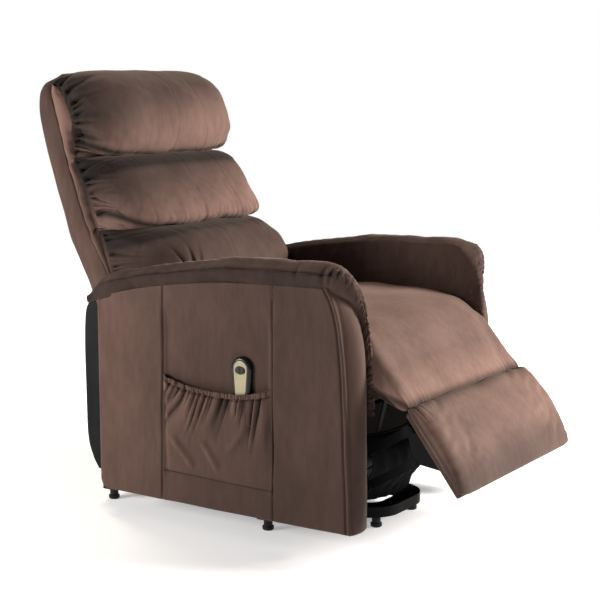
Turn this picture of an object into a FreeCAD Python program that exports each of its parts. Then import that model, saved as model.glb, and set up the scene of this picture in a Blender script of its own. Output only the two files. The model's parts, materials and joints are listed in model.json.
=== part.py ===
import FreeCAD, Part
import math
import os

Vector = FreeCAD.Vector

# A power lift recliner, in millimetres. X runs across the chair, depth runs back from the
# arm fronts along Y, and Z is up from the floor. Everything is moved at the end so that the
# origin lies on the floor under the middle of the chair.

# overall sizes
chair_half_width = 335.0
arm_thickness = 58.0
arm_board_inner = chair_half_width - arm_thickness
frame_inset = 30.0
frame_plate_inner = arm_board_inner - frame_inset
arm_board_thickness = 14.0
arm_bottom = 55.0
arm_rear = 710.0
skin_gap = 0.4
joint_gap = 0.05
station_shares = [1.0, 0.97, 0.88, 0.66, 0.33]
crown_power = 6.0
tiny_gap = 0.3
washer_gap = 0.1
long_way = 0.99
middle_share = 0.5

# base tubes and feet
foot_height = 26.0
foot_radius = 13.5
foot_neck_radius = 10.5
foot_pad_height = 9.0
foot_lean = 2.0
tube_height = 25.0
tube_wall = 2.0
cross_tube_width = 40.0
cross_overhang = 11.0
cross_half_length = frame_plate_inner + cross_overhang
mid_cross_depth = 279.0
rear_cross_depth = 746.0
side_foot_inset = 15.0
side_foot_x = cross_half_length - side_foot_inset
nose_front = 46.0
nose_half_width = 122.0
nose_radius = 80.0
rail_width = 42.0
nose_foot_x = 84.0
nose_foot_depth = 82.0
cap_thickness = 3.0
cap_plug_length = 9.0
cap_plug_gap = 0.1

# lift linkage pivots as depth and height
lift_pivot = (240.0, 82.0)
lift_top = (660.0, 130.0)
stay_pivot = (135.3, 97.5)
stay_top = (300.0, 150.0)
stay_hole_shift = (0.58, -1.34)
stay_hole_play = 2.1

# lift linkage plates
lift_arm_inset = 21.0
lift_arm_inner = frame_plate_inner - lift_arm_inset
lift_arm_thickness = 6.0
lift_arm_width = 36.0
lift_bracket_gap = 8.0
lift_bracket_inner = lift_arm_inner + lift_bracket_gap
lift_bracket_thickness = 6.0
lift_bracket_boss = 16.0
lift_pin_radius = 7.0
lift_pin_reach = 12.0
lift_pin_inner = lift_arm_inner - lift_pin_reach
pin_head = 3.0
pin_head_extra = 3.0
stay_inner = 98.0
stay_thickness = 6.0
stay_width = 28.0
stay_bracket_gap = 8.0
stay_bracket_inner = stay_inner + stay_bracket_gap
stay_bracket_thickness = 5.0
stay_bracket_boss = 15.0
stay_pin_radius = 6.0
stay_tube_radius = 9.0
stay_tube_wall = 2.0
stay_pin_reach = 3.0
stay_pin_inner = stay_inner - stay_pin_reach
lift_tube_radius = 14.0
bracket_foot_inset = 3.0
lift_bracket_flank = (8.0, 13.0)
lift_bracket_flank_low = (-8.0, -13.0)
stay_bracket_foot = (130.0, 172.0)

# crank and motor drive
crank_length = 110.0
crank_lean = 18.0
crank_inner = 14.0
crank_thickness = 5.0
crank_width = 30.0
crank_pin_radius = 6.0
motor_pivot = (715.0, 86.0)
motor_ear_inner = 24.0
motor_ear_thickness = 5.0
motor_ear_boss = 15.0
motor_ear_flank = (9.0, 12.0)
motor_ear_flank_low = (-9.0, -12.0)
motor_pin_radius = 6.0
gearbox_half_width = 22.0
gearbox_start = 16.0
gearbox_end = 92.0
gearbox_half_height = 27.0
gearbox_fillet = 6.0
motor_eye_radius = 14.0
motor_eye_half_width = 20.0
motor_radius = 25.0
motor_offset = 53.0
motor_start = 22.0
motor_end = 150.0
motor_fillet = 5.0
motor_can_gap = 0.03
screw_tube_radius = 20.0
screw_tube_end = 325.0
screw_tube_bore = 14.3
rod_radius = 14.0
rod_start = 112.0
rod_head_half_width = 12.0
rod_head_radius = 17.0
rod_hole_play = 3.5
rod_hole_shift = (-0.8, 2.9)
inlet_half_width = 9.0
inlet_length = 14.0
inlet_place = 54.0

# chair underframe
frame_plate_thickness = 4.0
frame_plate_outline = [
    (56.0, 345.0), (56.0, 318.0), (100.0, 282.0), (300.0, 196.0), (560.0, 148.0), (640.0, 112.0),
    (680.0, 112.0), (696.0, 150.0), (690.0, 428.0), (684.0, 446.0), (646.0, 446.0), (626.0, 398.0),
    (120.0, 398.0),
]
frame_tube_radius = 12.5
frame_tube_wall = 2.0
front_frame_tube = (300.0, 215.0)
rear_frame_tube = (672.0, 262.0)
hanger_width = 34.0
lift_top_pin_reach = (4.0, 28.0)
lift_top_pin_inner = lift_arm_inner - lift_top_pin_reach[0]
lift_top_pin_outer = lift_arm_inner + lift_top_pin_reach[1]
side_rail_depths = (52.0, 600.0)
wood_rail_heights = (347.0, 405.0)
front_rail_depths = (30.0, 52.0)
rear_rail_depths = (604.0, 626.0)
front_rail_inset = 13.0
rear_rail_half = frame_plate_inner
front_rail_half = arm_board_inner - front_rail_inset
strap_half_width = 24.0
strap_thickness = 2.0
strap_pitch = 95.0
strap_counts = [-2, -1, 0, 1, 2]

# seat cushion outline: a start, then a line to one point or an arc through two, as depth and height
seat_side_gap = 15.0
seat_half_width = arm_board_inner - seat_side_gap
seat_steps = [
    (572.0, 413.0), ((572.0, 488.0),), ((563.0, 509.0), (524.0, 514.0)), ((300.0, 524.0), (100.0, 514.0)),
    ((12.0, 484.0), (-52.0, 412.0)), ((-82.0, 372.0), (-96.0, 342.0)), ((-78.0, 333.0),),
    ((4.0, 358.0),), ((20.0, 413.0),), ((572.0, 413.0),),
]
seat_anchor = (250.0, 413.0)
seat_edge_scale = (0.988, 0.91)
seat_crown_scale = (1.0, 1.1)
seat_ear_scale = (0.978, 0.84)
seat_ear_overlap = 12.0
seat_ear_inner = seat_half_width - seat_ear_overlap
seat_ear_reach = 11.0
seat_ear_half_width = seat_half_width + seat_ear_reach
seat_ear_rear = -19.0

# arm pads: depth, lower edge, crest, and how far each slice stands in from the board
pad_outer_inset = 0.5
pad_crest_inset = 33.0
pad_outer = chair_half_width - pad_outer_inset
pad_crest_x = chair_half_width - pad_crest_inset
pad_slices = [
    (-8.0, 563.0, 588.0, 6.0), (6.0, 574.0, 616.0, 11.0), (30.0, 585.0, 637.0, 12.5),
    (70.0, 590.0, 646.0, 13.0), (171.0, 588.0, 648.0, 13.0), (308.0, 584.0, 640.0, 13.0),
    (452.0, 571.0, 620.0, 13.0), (560.0, 556.0, 600.0, 5.0), (640.0, 540.0, 585.0, -0.5),
    (704.0, 522.0, 566.0, -1.0), (738.0, 514.0, 544.0, -7.0),
]
pad_front_draw = 9.0
pad_round_share = 0.45
pad_bow_share = 0.08
pad_bow_height = 0.62
pad_inner_share = 0.22
pad_inner_drop = 0.12
pad_inner_side = 0.45
panel_top_drop = 4.0
panel_front = [(0.0, 56.0), (9.0, 282.0), (14.0, 399.0), (26.0, 502.0), (48.0, 572.0)]
panel_top = [
    (70.0, 586.0), (308.0, 580.0), (452.0, 567.0), (560.0, 552.0), (640.0, 536.0), (704.0, 518.0),
]
panel_rear_round = 26.0
panel_edge_round = 9.0
board_inset = 12.0
inner_panel_thickness = 12.1
inner_panel_faces = (arm_board_inner - skin_gap - inner_panel_thickness, arm_board_inner - skin_gap)
inner_panel_outline = [
    (-12.0, 330.0), (-8.0, 500.0), (4.0, 558.0), (26.0, 579.0), (70.0, 584.0), (308.0, 578.0),
    (452.0, 565.0), (535.0, 551.0), (545.0, 440.0), (60.0, 415.0),
]
panel_recess = 9.0
seam_depths = (204.0, 516.0)
recess_bottom = 120.0
recess_top = 545.0

# side pocket and handset on the left side
pocket_wall = 2.0
pocket_bottom = 132.0
pocket_lip_ends = 354.0
pocket_lip_middle = 326.0
pocket_bulge_low = 15.5
pocket_bulge_high = 19.5
pocket_end_slope = 26.0
pocket_foot = 0.2
handset_middle = 284.0
handset_low = 268.0
handset_high = 422.0
handset_half_low = 19.0
handset_half_high = 25.5
handset_corner = 12.0
handset_thickness = 16.0
handset_face_height = 112.0
handset_face_inset = 5.5
handset_face_drop = 4.0
handset_face_thickness = 1.0
handset_edge_round = 2.5
handset_stand_off = 0.6
button_length = 9.6
button_height = 13.0
button_gap = 1.6
button_drop = 30.0
button_proud = 1.9
button_root = 3.0
button_play = 0.25
button_travel = 1.2
button_round = 1.2

# footrest: board line from its top rear edge, then along and out from the board
footrest_top = (-94.0, 326.0)
footrest_tilt = 37.4
footrest_length = 214.0
board_thickness = 15.0
board_end_inset = 3.0
board_side_gap = 5.0
board_half_width = arm_board_inner - board_side_gap
board_edge_round = 5.0
foot_pad_gap = 0.3
foot_pad_overhang = 6.0
foot_pad_half_width = board_half_width + foot_pad_overhang
foot_pad_edge_scale = (0.86, 0.86)
foot_pad_crown_scale = (1.0, 1.0)
foot_pad_crest = [
    (2.0, 17.0), (9.0, 35.0), (38.0, 45.0), (97.0, 51.5), (150.0, 47.0), (190.0, 38.0), (212.0, 17.0),
]

# footrest linkage pivots
drive_pivot = (115.0, 300.0)
drive_end = (65.0, 113.0)
turn_centre = (-55.0, 402.0)
idler_offset = 60.0
control_offset = 70.0
link_width = 20.0
link_thickness = 4.0
drive_layer_gap = 5.5
link_layer_pitch = 5.5
drive_layer = frame_plate_inner - drive_layer_gap
long_layer = drive_layer - link_layer_pitch
link_pin_radius = 5.0
link_pin_head_radius = 8.0
link_pin_head = 1.2
drive_tube_radius = 11.0
drive_tube_wall = 2.0
bracket_boss = 13.0
bracket_foot = (60.0, 150.0)
bracket_flange_depth = 24.0
bracket_flange = 3.0

# backrest
back_hinge = (665.0, 430.0)
back_pin_radius = 7.0
back_lean = 19.5
back_plate_gap = 6.0
back_plate_inner = frame_plate_inner + back_plate_gap
back_plate_thickness = 5.0
back_plate_outline = [
    (674.0, 448.0), (738.0, 534.0), (802.0, 690.0), (824.0, 684.0), (776.0, 530.0), (684.0, 416.0),
]
back_plate_boss = 19.0
upright_thickness = 24.6
upright_outer = back_plate_inner - skin_gap
upright_faces = (upright_outer - upright_thickness, upright_outer)
upright_outline = [
    (728.0, 530.0), (834.0, 827.0), (853.0, 935.0), (874.0, 978.0), (902.0, 950.0), (906.0, 915.0),
    (873.0, 798.0), (767.0, 512.0),
]
side_pad_gap = 0.6
side_pad_thickness = 12.4
side_pad_inner = back_plate_inner + back_plate_thickness + side_pad_gap
side_pad_faces = (side_pad_inner, side_pad_inner + side_pad_thickness)
side_pad_round = 4.0
rail_section = (60.0, 22.0)
rail_centres = [(764.0, 566.0), (812.0, 700.0), (870.0, 895.0)]
shell_side_inset = 7.0
shell_half_width = arm_board_inner - shell_side_inset
pillow_overhang = 4.0
pillow_half_width = arm_board_inner + pillow_overhang
lumbar_side_gap = 9.0
lumbar_half_width = arm_board_inner - lumbar_side_gap
# outlines of the shell and pillows: a start, then a line to one point or an arc through two
shell_steps = [
    (786.0, 501.0), ((895.0, 790.0),), ((919.0, 862.0), (932.0, 928.0)), ((930.0, 992.0), (890.0, 1034.0)),
    ((890.0, 1006.0),), ((914.0, 970.0), (912.0, 926.0)), ((899.0, 862.0), (877.0, 798.0)),
    ((769.0, 508.0),), ((786.0, 501.0),),
]
lumbar_steps = [
    (766.0, 666.0), ((722.0, 542.0),), ((706.0, 504.0),), ((640.0, 506.0),),
    ((570.0, 537.0), (530.0, 573.0)), ((546.0, 622.0), (590.0, 668.0)), ((766.0, 666.0),),
]
middle_steps = [
    (824.0, 832.0), ((769.0, 674.0),), ((646.0, 677.0),), ((622.0, 690.0), (634.0, 716.0)),
    ((662.0, 770.0), (698.0, 822.0)), ((722.0, 839.0), (772.0, 841.0)), ((824.0, 832.0),),
]
head_steps = [
    (832.0, 843.0), ((850.0, 938.0),), ((884.0, 1000.0),), ((884.0, 1036.0),),
    ((846.0, 1065.0), (786.0, 1046.0)), ((740.0, 996.0), (721.0, 930.0)),
    ((721.0, 880.0), (744.0, 853.0)), ((832.0, 843.0),),
]
pillow_edge_scale = (0.42, 0.80)
pillow_crown_scale = (1.12, 1.0)
lumbar_anchor = (744.0, 602.0)
middle_anchor = (796.0, 752.0)
head_anchor = (842.0, 920.0)

# rear skirt and front curtain
skirt_line = [(798.0, 498.0), (816.0, 446.0), (817.0, 300.0), (816.0, 146.0), (777.0, 80.0)]
skirt_front = 714.0
skirt_side_gap = 11.0
skirt_side = arm_board_inner - skirt_side_gap
skirt_thickness = 2.5
skirt_top = 504.0
skirt_foot = 66.0
curtain_half_width = 128.0
curtain_thickness = 2.0
curtain_wrap = 42.0
curtain_levels = [
    (62.0, 74.0), (90.0, 64.0), (117.0, 43.0), (142.0, 29.0), (168.0, 27.5), (190.0, 35.0), (214.0, 58.0),
]
rod_radius_curtain = 4.0
rod_depth = 70.0
rod_height = 219.5
rod_strap_x = 74.0
rod_strap_width = 16.0
rod_strap_thickness = 3.0


# small builders
def at(x, p):
    return Vector(x, p[0], p[1])


def block(x0, x1, y0, y1, z0, z1):
    return Part.makeBox(x1 - x0, y1 - y0, z1 - z0, Vector(x0, y0, z0))


def rod_x(p, radius, x0, x1):
    return Part.makeCylinder(radius, x1 - x0, at(x0, p), Vector(1, 0, 0))


def plate(points, x0, x1):
    ring = [at(x0, p) for p in points]
    return Part.Face(Part.makePolygon(ring + ring[:1])).extrude(Vector(x1 - x0, 0, 0))


def link(a, b, width, x0, x1):
    along = Vector(0, b[0] - a[0], b[1] - a[1])
    side = Vector(0, -along.z, along.y)
    side = side * (width / 2 / along.Length)
    ring = [at(x0, a) + side, at(x0, b) + side, at(x0, b) - side, at(x0, a) - side]
    bar = Part.Face(Part.makePolygon(ring + ring[:1])).extrude(Vector(x1 - x0, 0, 0))
    ends = [rod_x(a, width / 2, x0, x1), rod_x(b, width / 2, x0, x1)]
    return bar.multiFuse(ends).removeSplitter()


def mirrored(shape):
    return shape.mirror(Vector(0, 0, 0), Vector(1, 0, 0))


def pair(shape):
    return Part.makeCompound([shape, mirrored(shape)])


def group(shapes):
    return Part.makeCompound(shapes)


def hole(shape, p, radius, x0, x1):
    margin = chair_half_width
    return shape.cut(rod_x(p, radius, x0 - margin, x1 + margin))


def edge_list(steps, x):
    here = at(x, steps[0])
    edges = []
    for step in steps[1:]:
        end = at(x, step[-1])
        if len(step) == 2:
            edges.append(Part.Arc(here, at(x, step[0]), end).toShape())
        else:
            edges.append(Part.makeLine(here, end))
        here = end
    return edges


def ring(steps, x):
    return Part.Wire(edge_list(steps, x))


def scaled(steps, anchor, factor):
    def near(p):
        return (anchor[0] + (p[0] - anchor[0]) * factor[0], anchor[1] + (p[1] - anchor[1]) * factor[1])
    return [near(steps[0])] + [tuple(near(p) for p in step) for step in steps[1:]]


def cushion(steps, anchor, stations):
    rings = [ring(scaled(steps, anchor, factor), x) for x, factor in stations]
    return Part.makeLoft(rings, True, False)


def turned(v, degrees):
    c = math.cos(math.radians(degrees))
    s = math.sin(math.radians(degrees))
    return (v[0] * c - v[1] * s, v[0] * s + v[1] * c)


def plus(a, b, factor=1.0):
    return (a[0] + b[0] * factor, a[1] + b[1] * factor)


def minus(a, b):
    return (a[0] - b[0], a[1] - b[1])


def unit(v):
    size = math.hypot(v[0], v[1])
    return (v[0] / size, v[1] / size)


nodes = {}
tube_low = foot_height
tube_top = foot_height + tube_height


# base of square tubes on plastic feet
def nose_outline(inset, extra):
    half = nose_half_width - inset
    front = nose_front + inset
    back = nose_front + nose_radius + extra
    outer = nose_radius - inset
    inner_half = nose_half_width - rail_width + inset
    inner_front = nose_front + rail_width - inset
    inner = nose_radius - rail_width + inset
    turn = math.sqrt(middle_share)
    cx = nose_half_width - nose_radius
    cy = nose_front + nose_radius

    def corner(side, radius):
        return Vector(side * (cx + radius * turn), cy - radius * turn, 0)

    pts = [Vector(-half, back, 0), Vector(-half, cy, 0), Vector(-cx, front, 0), Vector(cx, front, 0)]
    pts += [Vector(half, cy, 0), Vector(half, back, 0)]
    pts += [Vector(inner_half, back, 0), Vector(inner_half, cy, 0)]
    pts += [Vector(cx, inner_front, 0), Vector(-cx, inner_front, 0), Vector(-inner_half, cy, 0)]
    pts += [Vector(-inner_half, back, 0)]
    edges = []
    arcs = {1: corner(-1, outer), 3: corner(1, outer), 7: corner(1, inner), 9: corner(-1, inner)}
    for i, p in enumerate(pts):
        q = pts[(i + 1) % len(pts)]
        if i in arcs:
            edges.append(Part.Arc(p, arcs[i], q).toShape())
        elif p.distanceToPoint(q) > joint_gap:
            edges.append(Part.makeLine(p, q))
    return Part.Face(Part.Wire(edges))


nose_lip = 1.0
nose = nose_outline(0.0, nose_lip).extrude(Vector(0, 0, tube_height))
nose_core = nose_outline(tube_wall, cross_tube_width).extrude(Vector(0, 0, tube_height - 2 * tube_wall))
nose_core.translate(Vector(0, 0, tube_wall))
nose = nose.cut(nose_core)
nose.translate(Vector(0, 0, tube_low))
nodes["base_nose_bend"] = nose


def tube_y(x0, x1, y0, y1):
    body = block(x0, x1, y0, y1, tube_low, tube_top)
    core = block(x0 + tube_wall, x1 - tube_wall, y0 - tube_wall, y1 + tube_wall,
                 tube_low + tube_wall, tube_top - tube_wall)
    return body.cut(core)


def tube_x(depth, half_length):
    y0 = depth - cross_tube_width / 2
    y1 = depth + cross_tube_width / 2
    body = block(-half_length, half_length, y0, y1, tube_low, tube_top)
    core = block(-half_length - tube_wall, half_length + tube_wall, y0 + tube_wall, y1 - tube_wall,
                 tube_low + tube_wall, tube_top - tube_wall)
    return body.cut(core)


rail_x0 = nose_half_width - rail_width
rail_x1 = nose_half_width
nose_end = nose_front + nose_radius + nose_lip
half_cross = cross_tube_width / 2
front_rail = tube_y(rail_x0, rail_x1, nose_end, mid_cross_depth - half_cross)
rear_rail = tube_y(rail_x0, rail_x1, mid_cross_depth + half_cross, rear_cross_depth - half_cross)
nodes["base_rails"] = group([front_rail, mirrored(front_rail), rear_rail, mirrored(rear_rail)])
nodes["base_mid_cross_tube"] = tube_x(mid_cross_depth, cross_half_length)
nodes["base_rear_cross_tube"] = tube_x(rear_cross_depth, cross_half_length)


def end_cap(depth):
    y0 = depth - half_cross
    y1 = depth + half_cross
    inset = tube_wall + cap_plug_gap
    face = block(cross_half_length, cross_half_length + cap_thickness, y0, y1, tube_low, tube_top)
    plug = block(cross_half_length - cap_plug_length, cross_half_length, y0 + inset, y1 - inset,
                 tube_low + inset, tube_top - inset)
    return face.fuse(plug)


caps = [end_cap(mid_cross_depth), end_cap(rear_cross_depth)]
nodes["tube_end_caps"] = group(caps + [mirrored(c) for c in caps])


def foot(x, depth):
    pad = Part.makeCone(foot_radius - foot_lean, foot_radius, foot_lean, Vector(x, depth, 0))
    disc = Part.makeCylinder(foot_radius, foot_pad_height - foot_lean, Vector(x, depth, foot_lean))
    neck_foot = Vector(x, depth, foot_pad_height)
    neck = Part.makeCylinder(foot_neck_radius, foot_height - foot_pad_height, neck_foot)
    return pad.multiFuse([disc, neck]).removeSplitter()


foot_places = [(nose_foot_x, nose_foot_depth)]
foot_places += [(side_foot_x, mid_cross_depth), (side_foot_x, rear_cross_depth)]
right_feet = [foot(x, d) for x, d in foot_places]
nodes["feet"] = group(right_feet + [mirrored(f) for f in right_feet])

# brackets welded to the base
mid_front = mid_cross_depth - half_cross
foot_span = cross_tube_width - bracket_foot_inset
lift_foot = [(mid_front + bracket_foot_inset, tube_top), (mid_front + foot_span, tube_top)]
lift_bracket = plate(
    lift_foot + [plus(lift_pivot, lift_bracket_flank), plus(lift_pivot, lift_bracket_flank_low)],
    lift_bracket_inner, lift_bracket_inner + lift_bracket_thickness)
lift_bracket = lift_bracket.fuse(rod_x(
    lift_pivot, lift_bracket_boss, lift_bracket_inner, lift_bracket_inner + lift_bracket_thickness))
lift_bracket = hole(lift_bracket, lift_pivot, lift_pin_radius + joint_gap, 0.0, 0.0)
lift_bracket = lift_bracket.removeSplitter()

stay_outer = stay_bracket_inner + stay_bracket_thickness
stay_bracket = plate(
    [(stay_bracket_foot[0], tube_top), (stay_bracket_foot[1], tube_top),
     plus(stay_pivot, (stay_bracket_boss, 0.0)), plus(stay_pivot, (-stay_bracket_boss, 0.0))],
    stay_bracket_inner, stay_outer)
stay_bracket = stay_bracket.fuse(rod_x(stay_pivot, stay_bracket_boss, stay_bracket_inner, stay_outer))
stay_bracket = hole(stay_bracket, stay_pivot, stay_pin_radius + joint_gap, 0.0, 0.0)
stay_bracket = stay_bracket.removeSplitter()

rear_front = rear_cross_depth - half_cross
motor_ear = plate(
    [(rear_front + bracket_foot_inset, tube_top), (rear_front + foot_span, tube_top),
     plus(motor_pivot, motor_ear_flank), plus(motor_pivot, motor_ear_flank_low)],
    motor_ear_inner, motor_ear_inner + motor_ear_thickness)
motor_ear = motor_ear.fuse(rod_x(
    motor_pivot, motor_ear_boss, motor_ear_inner, motor_ear_inner + motor_ear_thickness))
motor_ear = hole(motor_ear, motor_pivot, motor_pin_radius + joint_gap, 0.0, 0.0)
motor_ear = motor_ear.removeSplitter()
right_brackets = [lift_bracket, stay_bracket, motor_ear]
nodes["base_brackets"] = group(right_brackets + [mirrored(b) for b in right_brackets])


def pin(p, radius, x0, x1):
    shank = rod_x(p, radius, x0, x1)
    return shank.fuse(rod_x(p, radius + pin_head_extra, x1, x1 + pin_head))


lift_pin = pin(lift_pivot, lift_pin_radius, lift_pin_inner, lift_bracket_inner + lift_bracket_thickness)
stay_pin = pin(stay_pivot, stay_pin_radius, stay_pin_inner, stay_outer)
motor_pin = pin(motor_pivot, motor_pin_radius,
                -motor_ear_inner - motor_ear_thickness - pin_head, motor_ear_inner + motor_ear_thickness)
nodes["base_pivot_pins"] = group([lift_pin, mirrored(lift_pin), stay_pin, mirrored(stay_pin), motor_pin])

# lift arms on their torque tube, with the crank that the motor pushes
lift_arm = link(lift_pivot, lift_top, lift_arm_width, lift_arm_inner, lift_arm_inner + lift_arm_thickness)
lift_arm = hole(lift_arm, lift_pivot, lift_pin_radius + joint_gap, 0.0, 0.0)
lift_arm = hole(lift_arm, lift_top, lift_pin_radius + joint_gap, 0.0, 0.0)
nodes["lift_arms"] = pair(lift_arm)
torque_tube = rod_x(lift_pivot, lift_tube_radius, -lift_arm_inner, lift_arm_inner)
nodes["lift_torque_tube"] = hole(torque_tube, lift_pivot, lift_pin_radius + joint_gap, 0.0, 0.0)
crank_dir = (math.sin(math.radians(crank_lean)), math.cos(math.radians(crank_lean)))
crank_end = plus(lift_pivot, crank_dir, crank_length)
crank = link(lift_pivot, crank_end, crank_width, crank_inner, crank_inner + crank_thickness)
crank = hole(crank, lift_pivot, lift_tube_radius + joint_gap / 2, 0.0, 0.0)
crank = hole(crank, crank_end, crank_pin_radius + joint_gap, 0.0, 0.0)
crank_pin = pin(crank_end, crank_pin_radius,
                -crank_inner - crank_thickness - pin_head, crank_inner + crank_thickness)
nodes["lift_crank"] = group([crank, mirrored(crank), crank_pin])

# stay links that keep the tilt, joined by a light tube
stay = link(stay_pivot, stay_top, stay_width, stay_inner, stay_inner + stay_thickness)
stay = hole(stay, stay_pivot, stay_pin_radius + joint_gap, 0.0, 0.0)
stay = hole(stay, plus(stay_top, stay_hole_shift), stay_pin_radius + stay_hole_play, 0.0, 0.0)
stay_middle = plus(stay_pivot, minus(stay_top, stay_pivot), middle_share)
stay_tube = rod_x(stay_middle, stay_tube_radius, -stay_inner, stay_inner)
stay_tube = hole(stay_tube, stay_middle, stay_tube_radius - stay_tube_wall, 0.0, 0.0)
nodes["stay_links"] = group([stay, mirrored(stay), stay_tube])

# motor drive built along X and turned onto its line
drive_dir = unit(minus(crank_end, motor_pivot))
drive_length = math.hypot(crank_end[0] - motor_pivot[0], crank_end[1] - motor_pivot[1])
drive_angle = math.degrees(math.atan2(drive_dir[1], -drive_dir[0]))


def on_drive(shape):
    shape.rotate(Vector(0, 0, 0), Vector(1, 0, 0), -drive_angle)
    shape.translate(at(0.0, motor_pivot))
    return shape


gearbox = block(-gearbox_half_width, gearbox_half_width, -gearbox_end, -gearbox_start,
                -gearbox_half_height, gearbox_half_height)
gearbox = gearbox.makeFillet(gearbox_fillet, gearbox.Edges)
eye = rod_x((0.0, 0.0), motor_eye_radius, -motor_eye_half_width, motor_eye_half_width)
eye_neck = block(-motor_eye_half_width, motor_eye_half_width, -gearbox_start - gearbox_fillet, 0.0,
                 -motor_eye_radius, motor_eye_radius)
gearbox = gearbox.multiFuse([eye, eye_neck])
gearbox = hole(gearbox, (0.0, 0.0), motor_pin_radius + joint_gap, 0.0, 0.0)
bore = Part.makeCylinder(screw_tube_bore, gearbox_end, Vector(0, -gearbox_start - gearbox_half_width, 0),
                         Vector(0, -1, 0))
gearbox = gearbox.cut(bore)
nodes["motor_gearbox"] = on_drive(gearbox.removeSplitter())
motor_can = Part.makeCylinder(motor_radius, motor_end - motor_start, Vector(0, -motor_start, motor_offset),
                              Vector(0, -1, 0))
motor_can = motor_can.makeFillet(motor_fillet, motor_can.Edges[:1] + motor_can.Edges[2:3])
motor_can = motor_can.cut(block(-motor_radius, motor_radius, -motor_end, 0.0,
                                -gearbox_half_height, gearbox_half_height + motor_can_gap))
nodes["motor_can"] = on_drive(motor_can)
screw_tube = Part.makeCylinder(screw_tube_radius, screw_tube_end - gearbox_end, Vector(0, -gearbox_end, 0),
                               Vector(0, -1, 0))
screw_bore = Part.makeCylinder(screw_tube_bore, screw_tube_end, Vector(0, 0, 0), Vector(0, -1, 0))
nodes["screw_tube"] = on_drive(screw_tube.cut(screw_bore))
inlet = block(gearbox_half_width, gearbox_half_width + inlet_length, -inlet_place - inlet_half_width,
              -inlet_place + inlet_half_width, -inlet_half_width, inlet_half_width)
socket_half = inlet_half_width - tube_wall
inlet_socket = block(gearbox_half_width + tube_wall, gearbox_half_width + inlet_length,
                     -inlet_place - socket_half, -inlet_place + socket_half, -socket_half, socket_half)
nodes["power_inlet"] = on_drive(inlet.cut(inlet_socket))
rod_tip = drive_length - rod_head_radius
push_rod = Part.makeCylinder(rod_radius, rod_tip - rod_start, Vector(0, -rod_start, 0), Vector(0, -1, 0))
rod_head = rod_x((-drive_length, 0.0), rod_head_radius, -rod_head_half_width, rod_head_half_width)
rod_head = rod_head.cut(block(-rod_head_half_width, rod_head_half_width, -rod_tip, 0.0,
                              -rod_head_radius, rod_head_radius))
rod_hole = plus((-drive_length, 0.0), rod_hole_shift)
rod_head = hole(rod_head, rod_hole, crank_pin_radius + rod_hole_play, 0.0, 0.0)
nodes["push_rod"] = on_drive(push_rod.fuse(rod_head).removeSplitter())

# steel side plates and tubes of the chair underframe
frame_outer = frame_plate_inner + frame_plate_thickness
idler_dir = unit(minus(turn_centre, drive_pivot))
idler_pivot = plus(drive_pivot, idler_dir, idler_offset)
frame_plate = plate(frame_plate_outline, frame_plate_inner, frame_outer)
for spot, radius in ((lift_top, lift_pin_radius), (drive_pivot, link_pin_radius),
                     (idler_pivot, link_pin_radius), (back_hinge, back_pin_radius)):
    frame_plate = hole(frame_plate, spot, radius + joint_gap, 0.0, 0.0)
nodes["frame_plate_right"] = frame_plate
nodes["frame_plate_left"] = mirrored(frame_plate)


def round_tube(p, radius, wall, half):
    return hole(rod_x(p, radius, -half, half), p, radius - wall, 0.0, 0.0)


nodes["frame_tubes"] = group([round_tube(spot, frame_tube_radius, frame_tube_wall, frame_plate_inner)
                              for spot in (front_frame_tube, rear_frame_tube)])
hanger = link(front_frame_tube, stay_top, hanger_width, stay_bracket_inner, stay_outer)
hanger = hole(hanger, front_frame_tube, frame_tube_radius + joint_gap / 2, 0.0, 0.0)
hanger = hole(hanger, stay_top, stay_pin_radius + joint_gap, 0.0, 0.0)
nodes["stay_hangers"] = pair(hanger)
top_pin = pin(lift_top, lift_pin_radius, lift_top_pin_inner, lift_top_pin_outer)
hang_pin = pin(stay_top, stay_pin_radius, stay_pin_inner, stay_outer)

# wooden seat frame and webbing
wood_low, wood_high = wood_rail_heights
side_front, side_rear = side_rail_depths
side_rail = block(frame_outer, arm_board_inner, side_front, side_rear, wood_low, wood_high)
nodes["seat_side_rails"] = pair(side_rail)


def cross_rail(half, depths):
    return block(-half, half, depths[0], depths[1], wood_low, wood_high)


def strap(x):
    return block(x - strap_half_width, x + strap_half_width, front_rail_depths[0], rear_rail_depths[1],
                 wood_high, wood_high + strap_thickness)


nodes["seat_cross_rails"] = group([cross_rail(front_rail_half, front_rail_depths),
                                   cross_rail(rear_rail_half, rear_rail_depths)])
straps = [strap(count * strap_pitch) for count in strap_counts]
nodes["seat_webbing"] = group(straps)

# seat cushion with its front roll


def fullness(share, edge, crown):
    grow = math.sqrt(1.0 - share ** crown_power)
    return edge + (crown - edge) * grow


def stations(half, edge, crown):
    places = [-share for share in station_shares] + [0.0] + station_shares[::-1]
    rows = []
    for s in places:
        factor = (fullness(abs(s), edge[0], crown[0]), fullness(abs(s), edge[1], crown[1]))
        rows.append((half * s, factor))
    return rows


seat = cushion(seat_steps, seat_anchor, stations(seat_half_width, seat_edge_scale, seat_crown_scale))
ear_ring = ring(scaled(seat_steps, seat_anchor, seat_ear_scale), seat_ear_inner)
ear = Part.Face(ear_ring).extrude(Vector(seat_ear_half_width - seat_ear_inner, 0, 0))
ear_room = block(seat_ear_inner, seat_ear_half_width, -chair_half_width, seat_ear_rear,
                 0.0, 2 * chair_half_width)
ear = ear.common(ear_room)
nodes["seat_cushion"] = seat.multiFuse([ear, mirrored(ear)])

# arms: wooden board, padded outer panel, inner panel and arm pad
panel_ring = [panel_front[0]] + panel_front[1:] + panel_top + [(arm_rear, arm_bottom)]
panel_faces = (arm_board_inner + arm_board_thickness + skin_gap, chair_half_width)
panel = plate(panel_ring, panel_faces[0], panel_faces[1])


def rounded(shape, radius, test):
    chosen = [e for e in shape.Edges if test(e)]
    return shape.makeFillet(radius, chosen)


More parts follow.
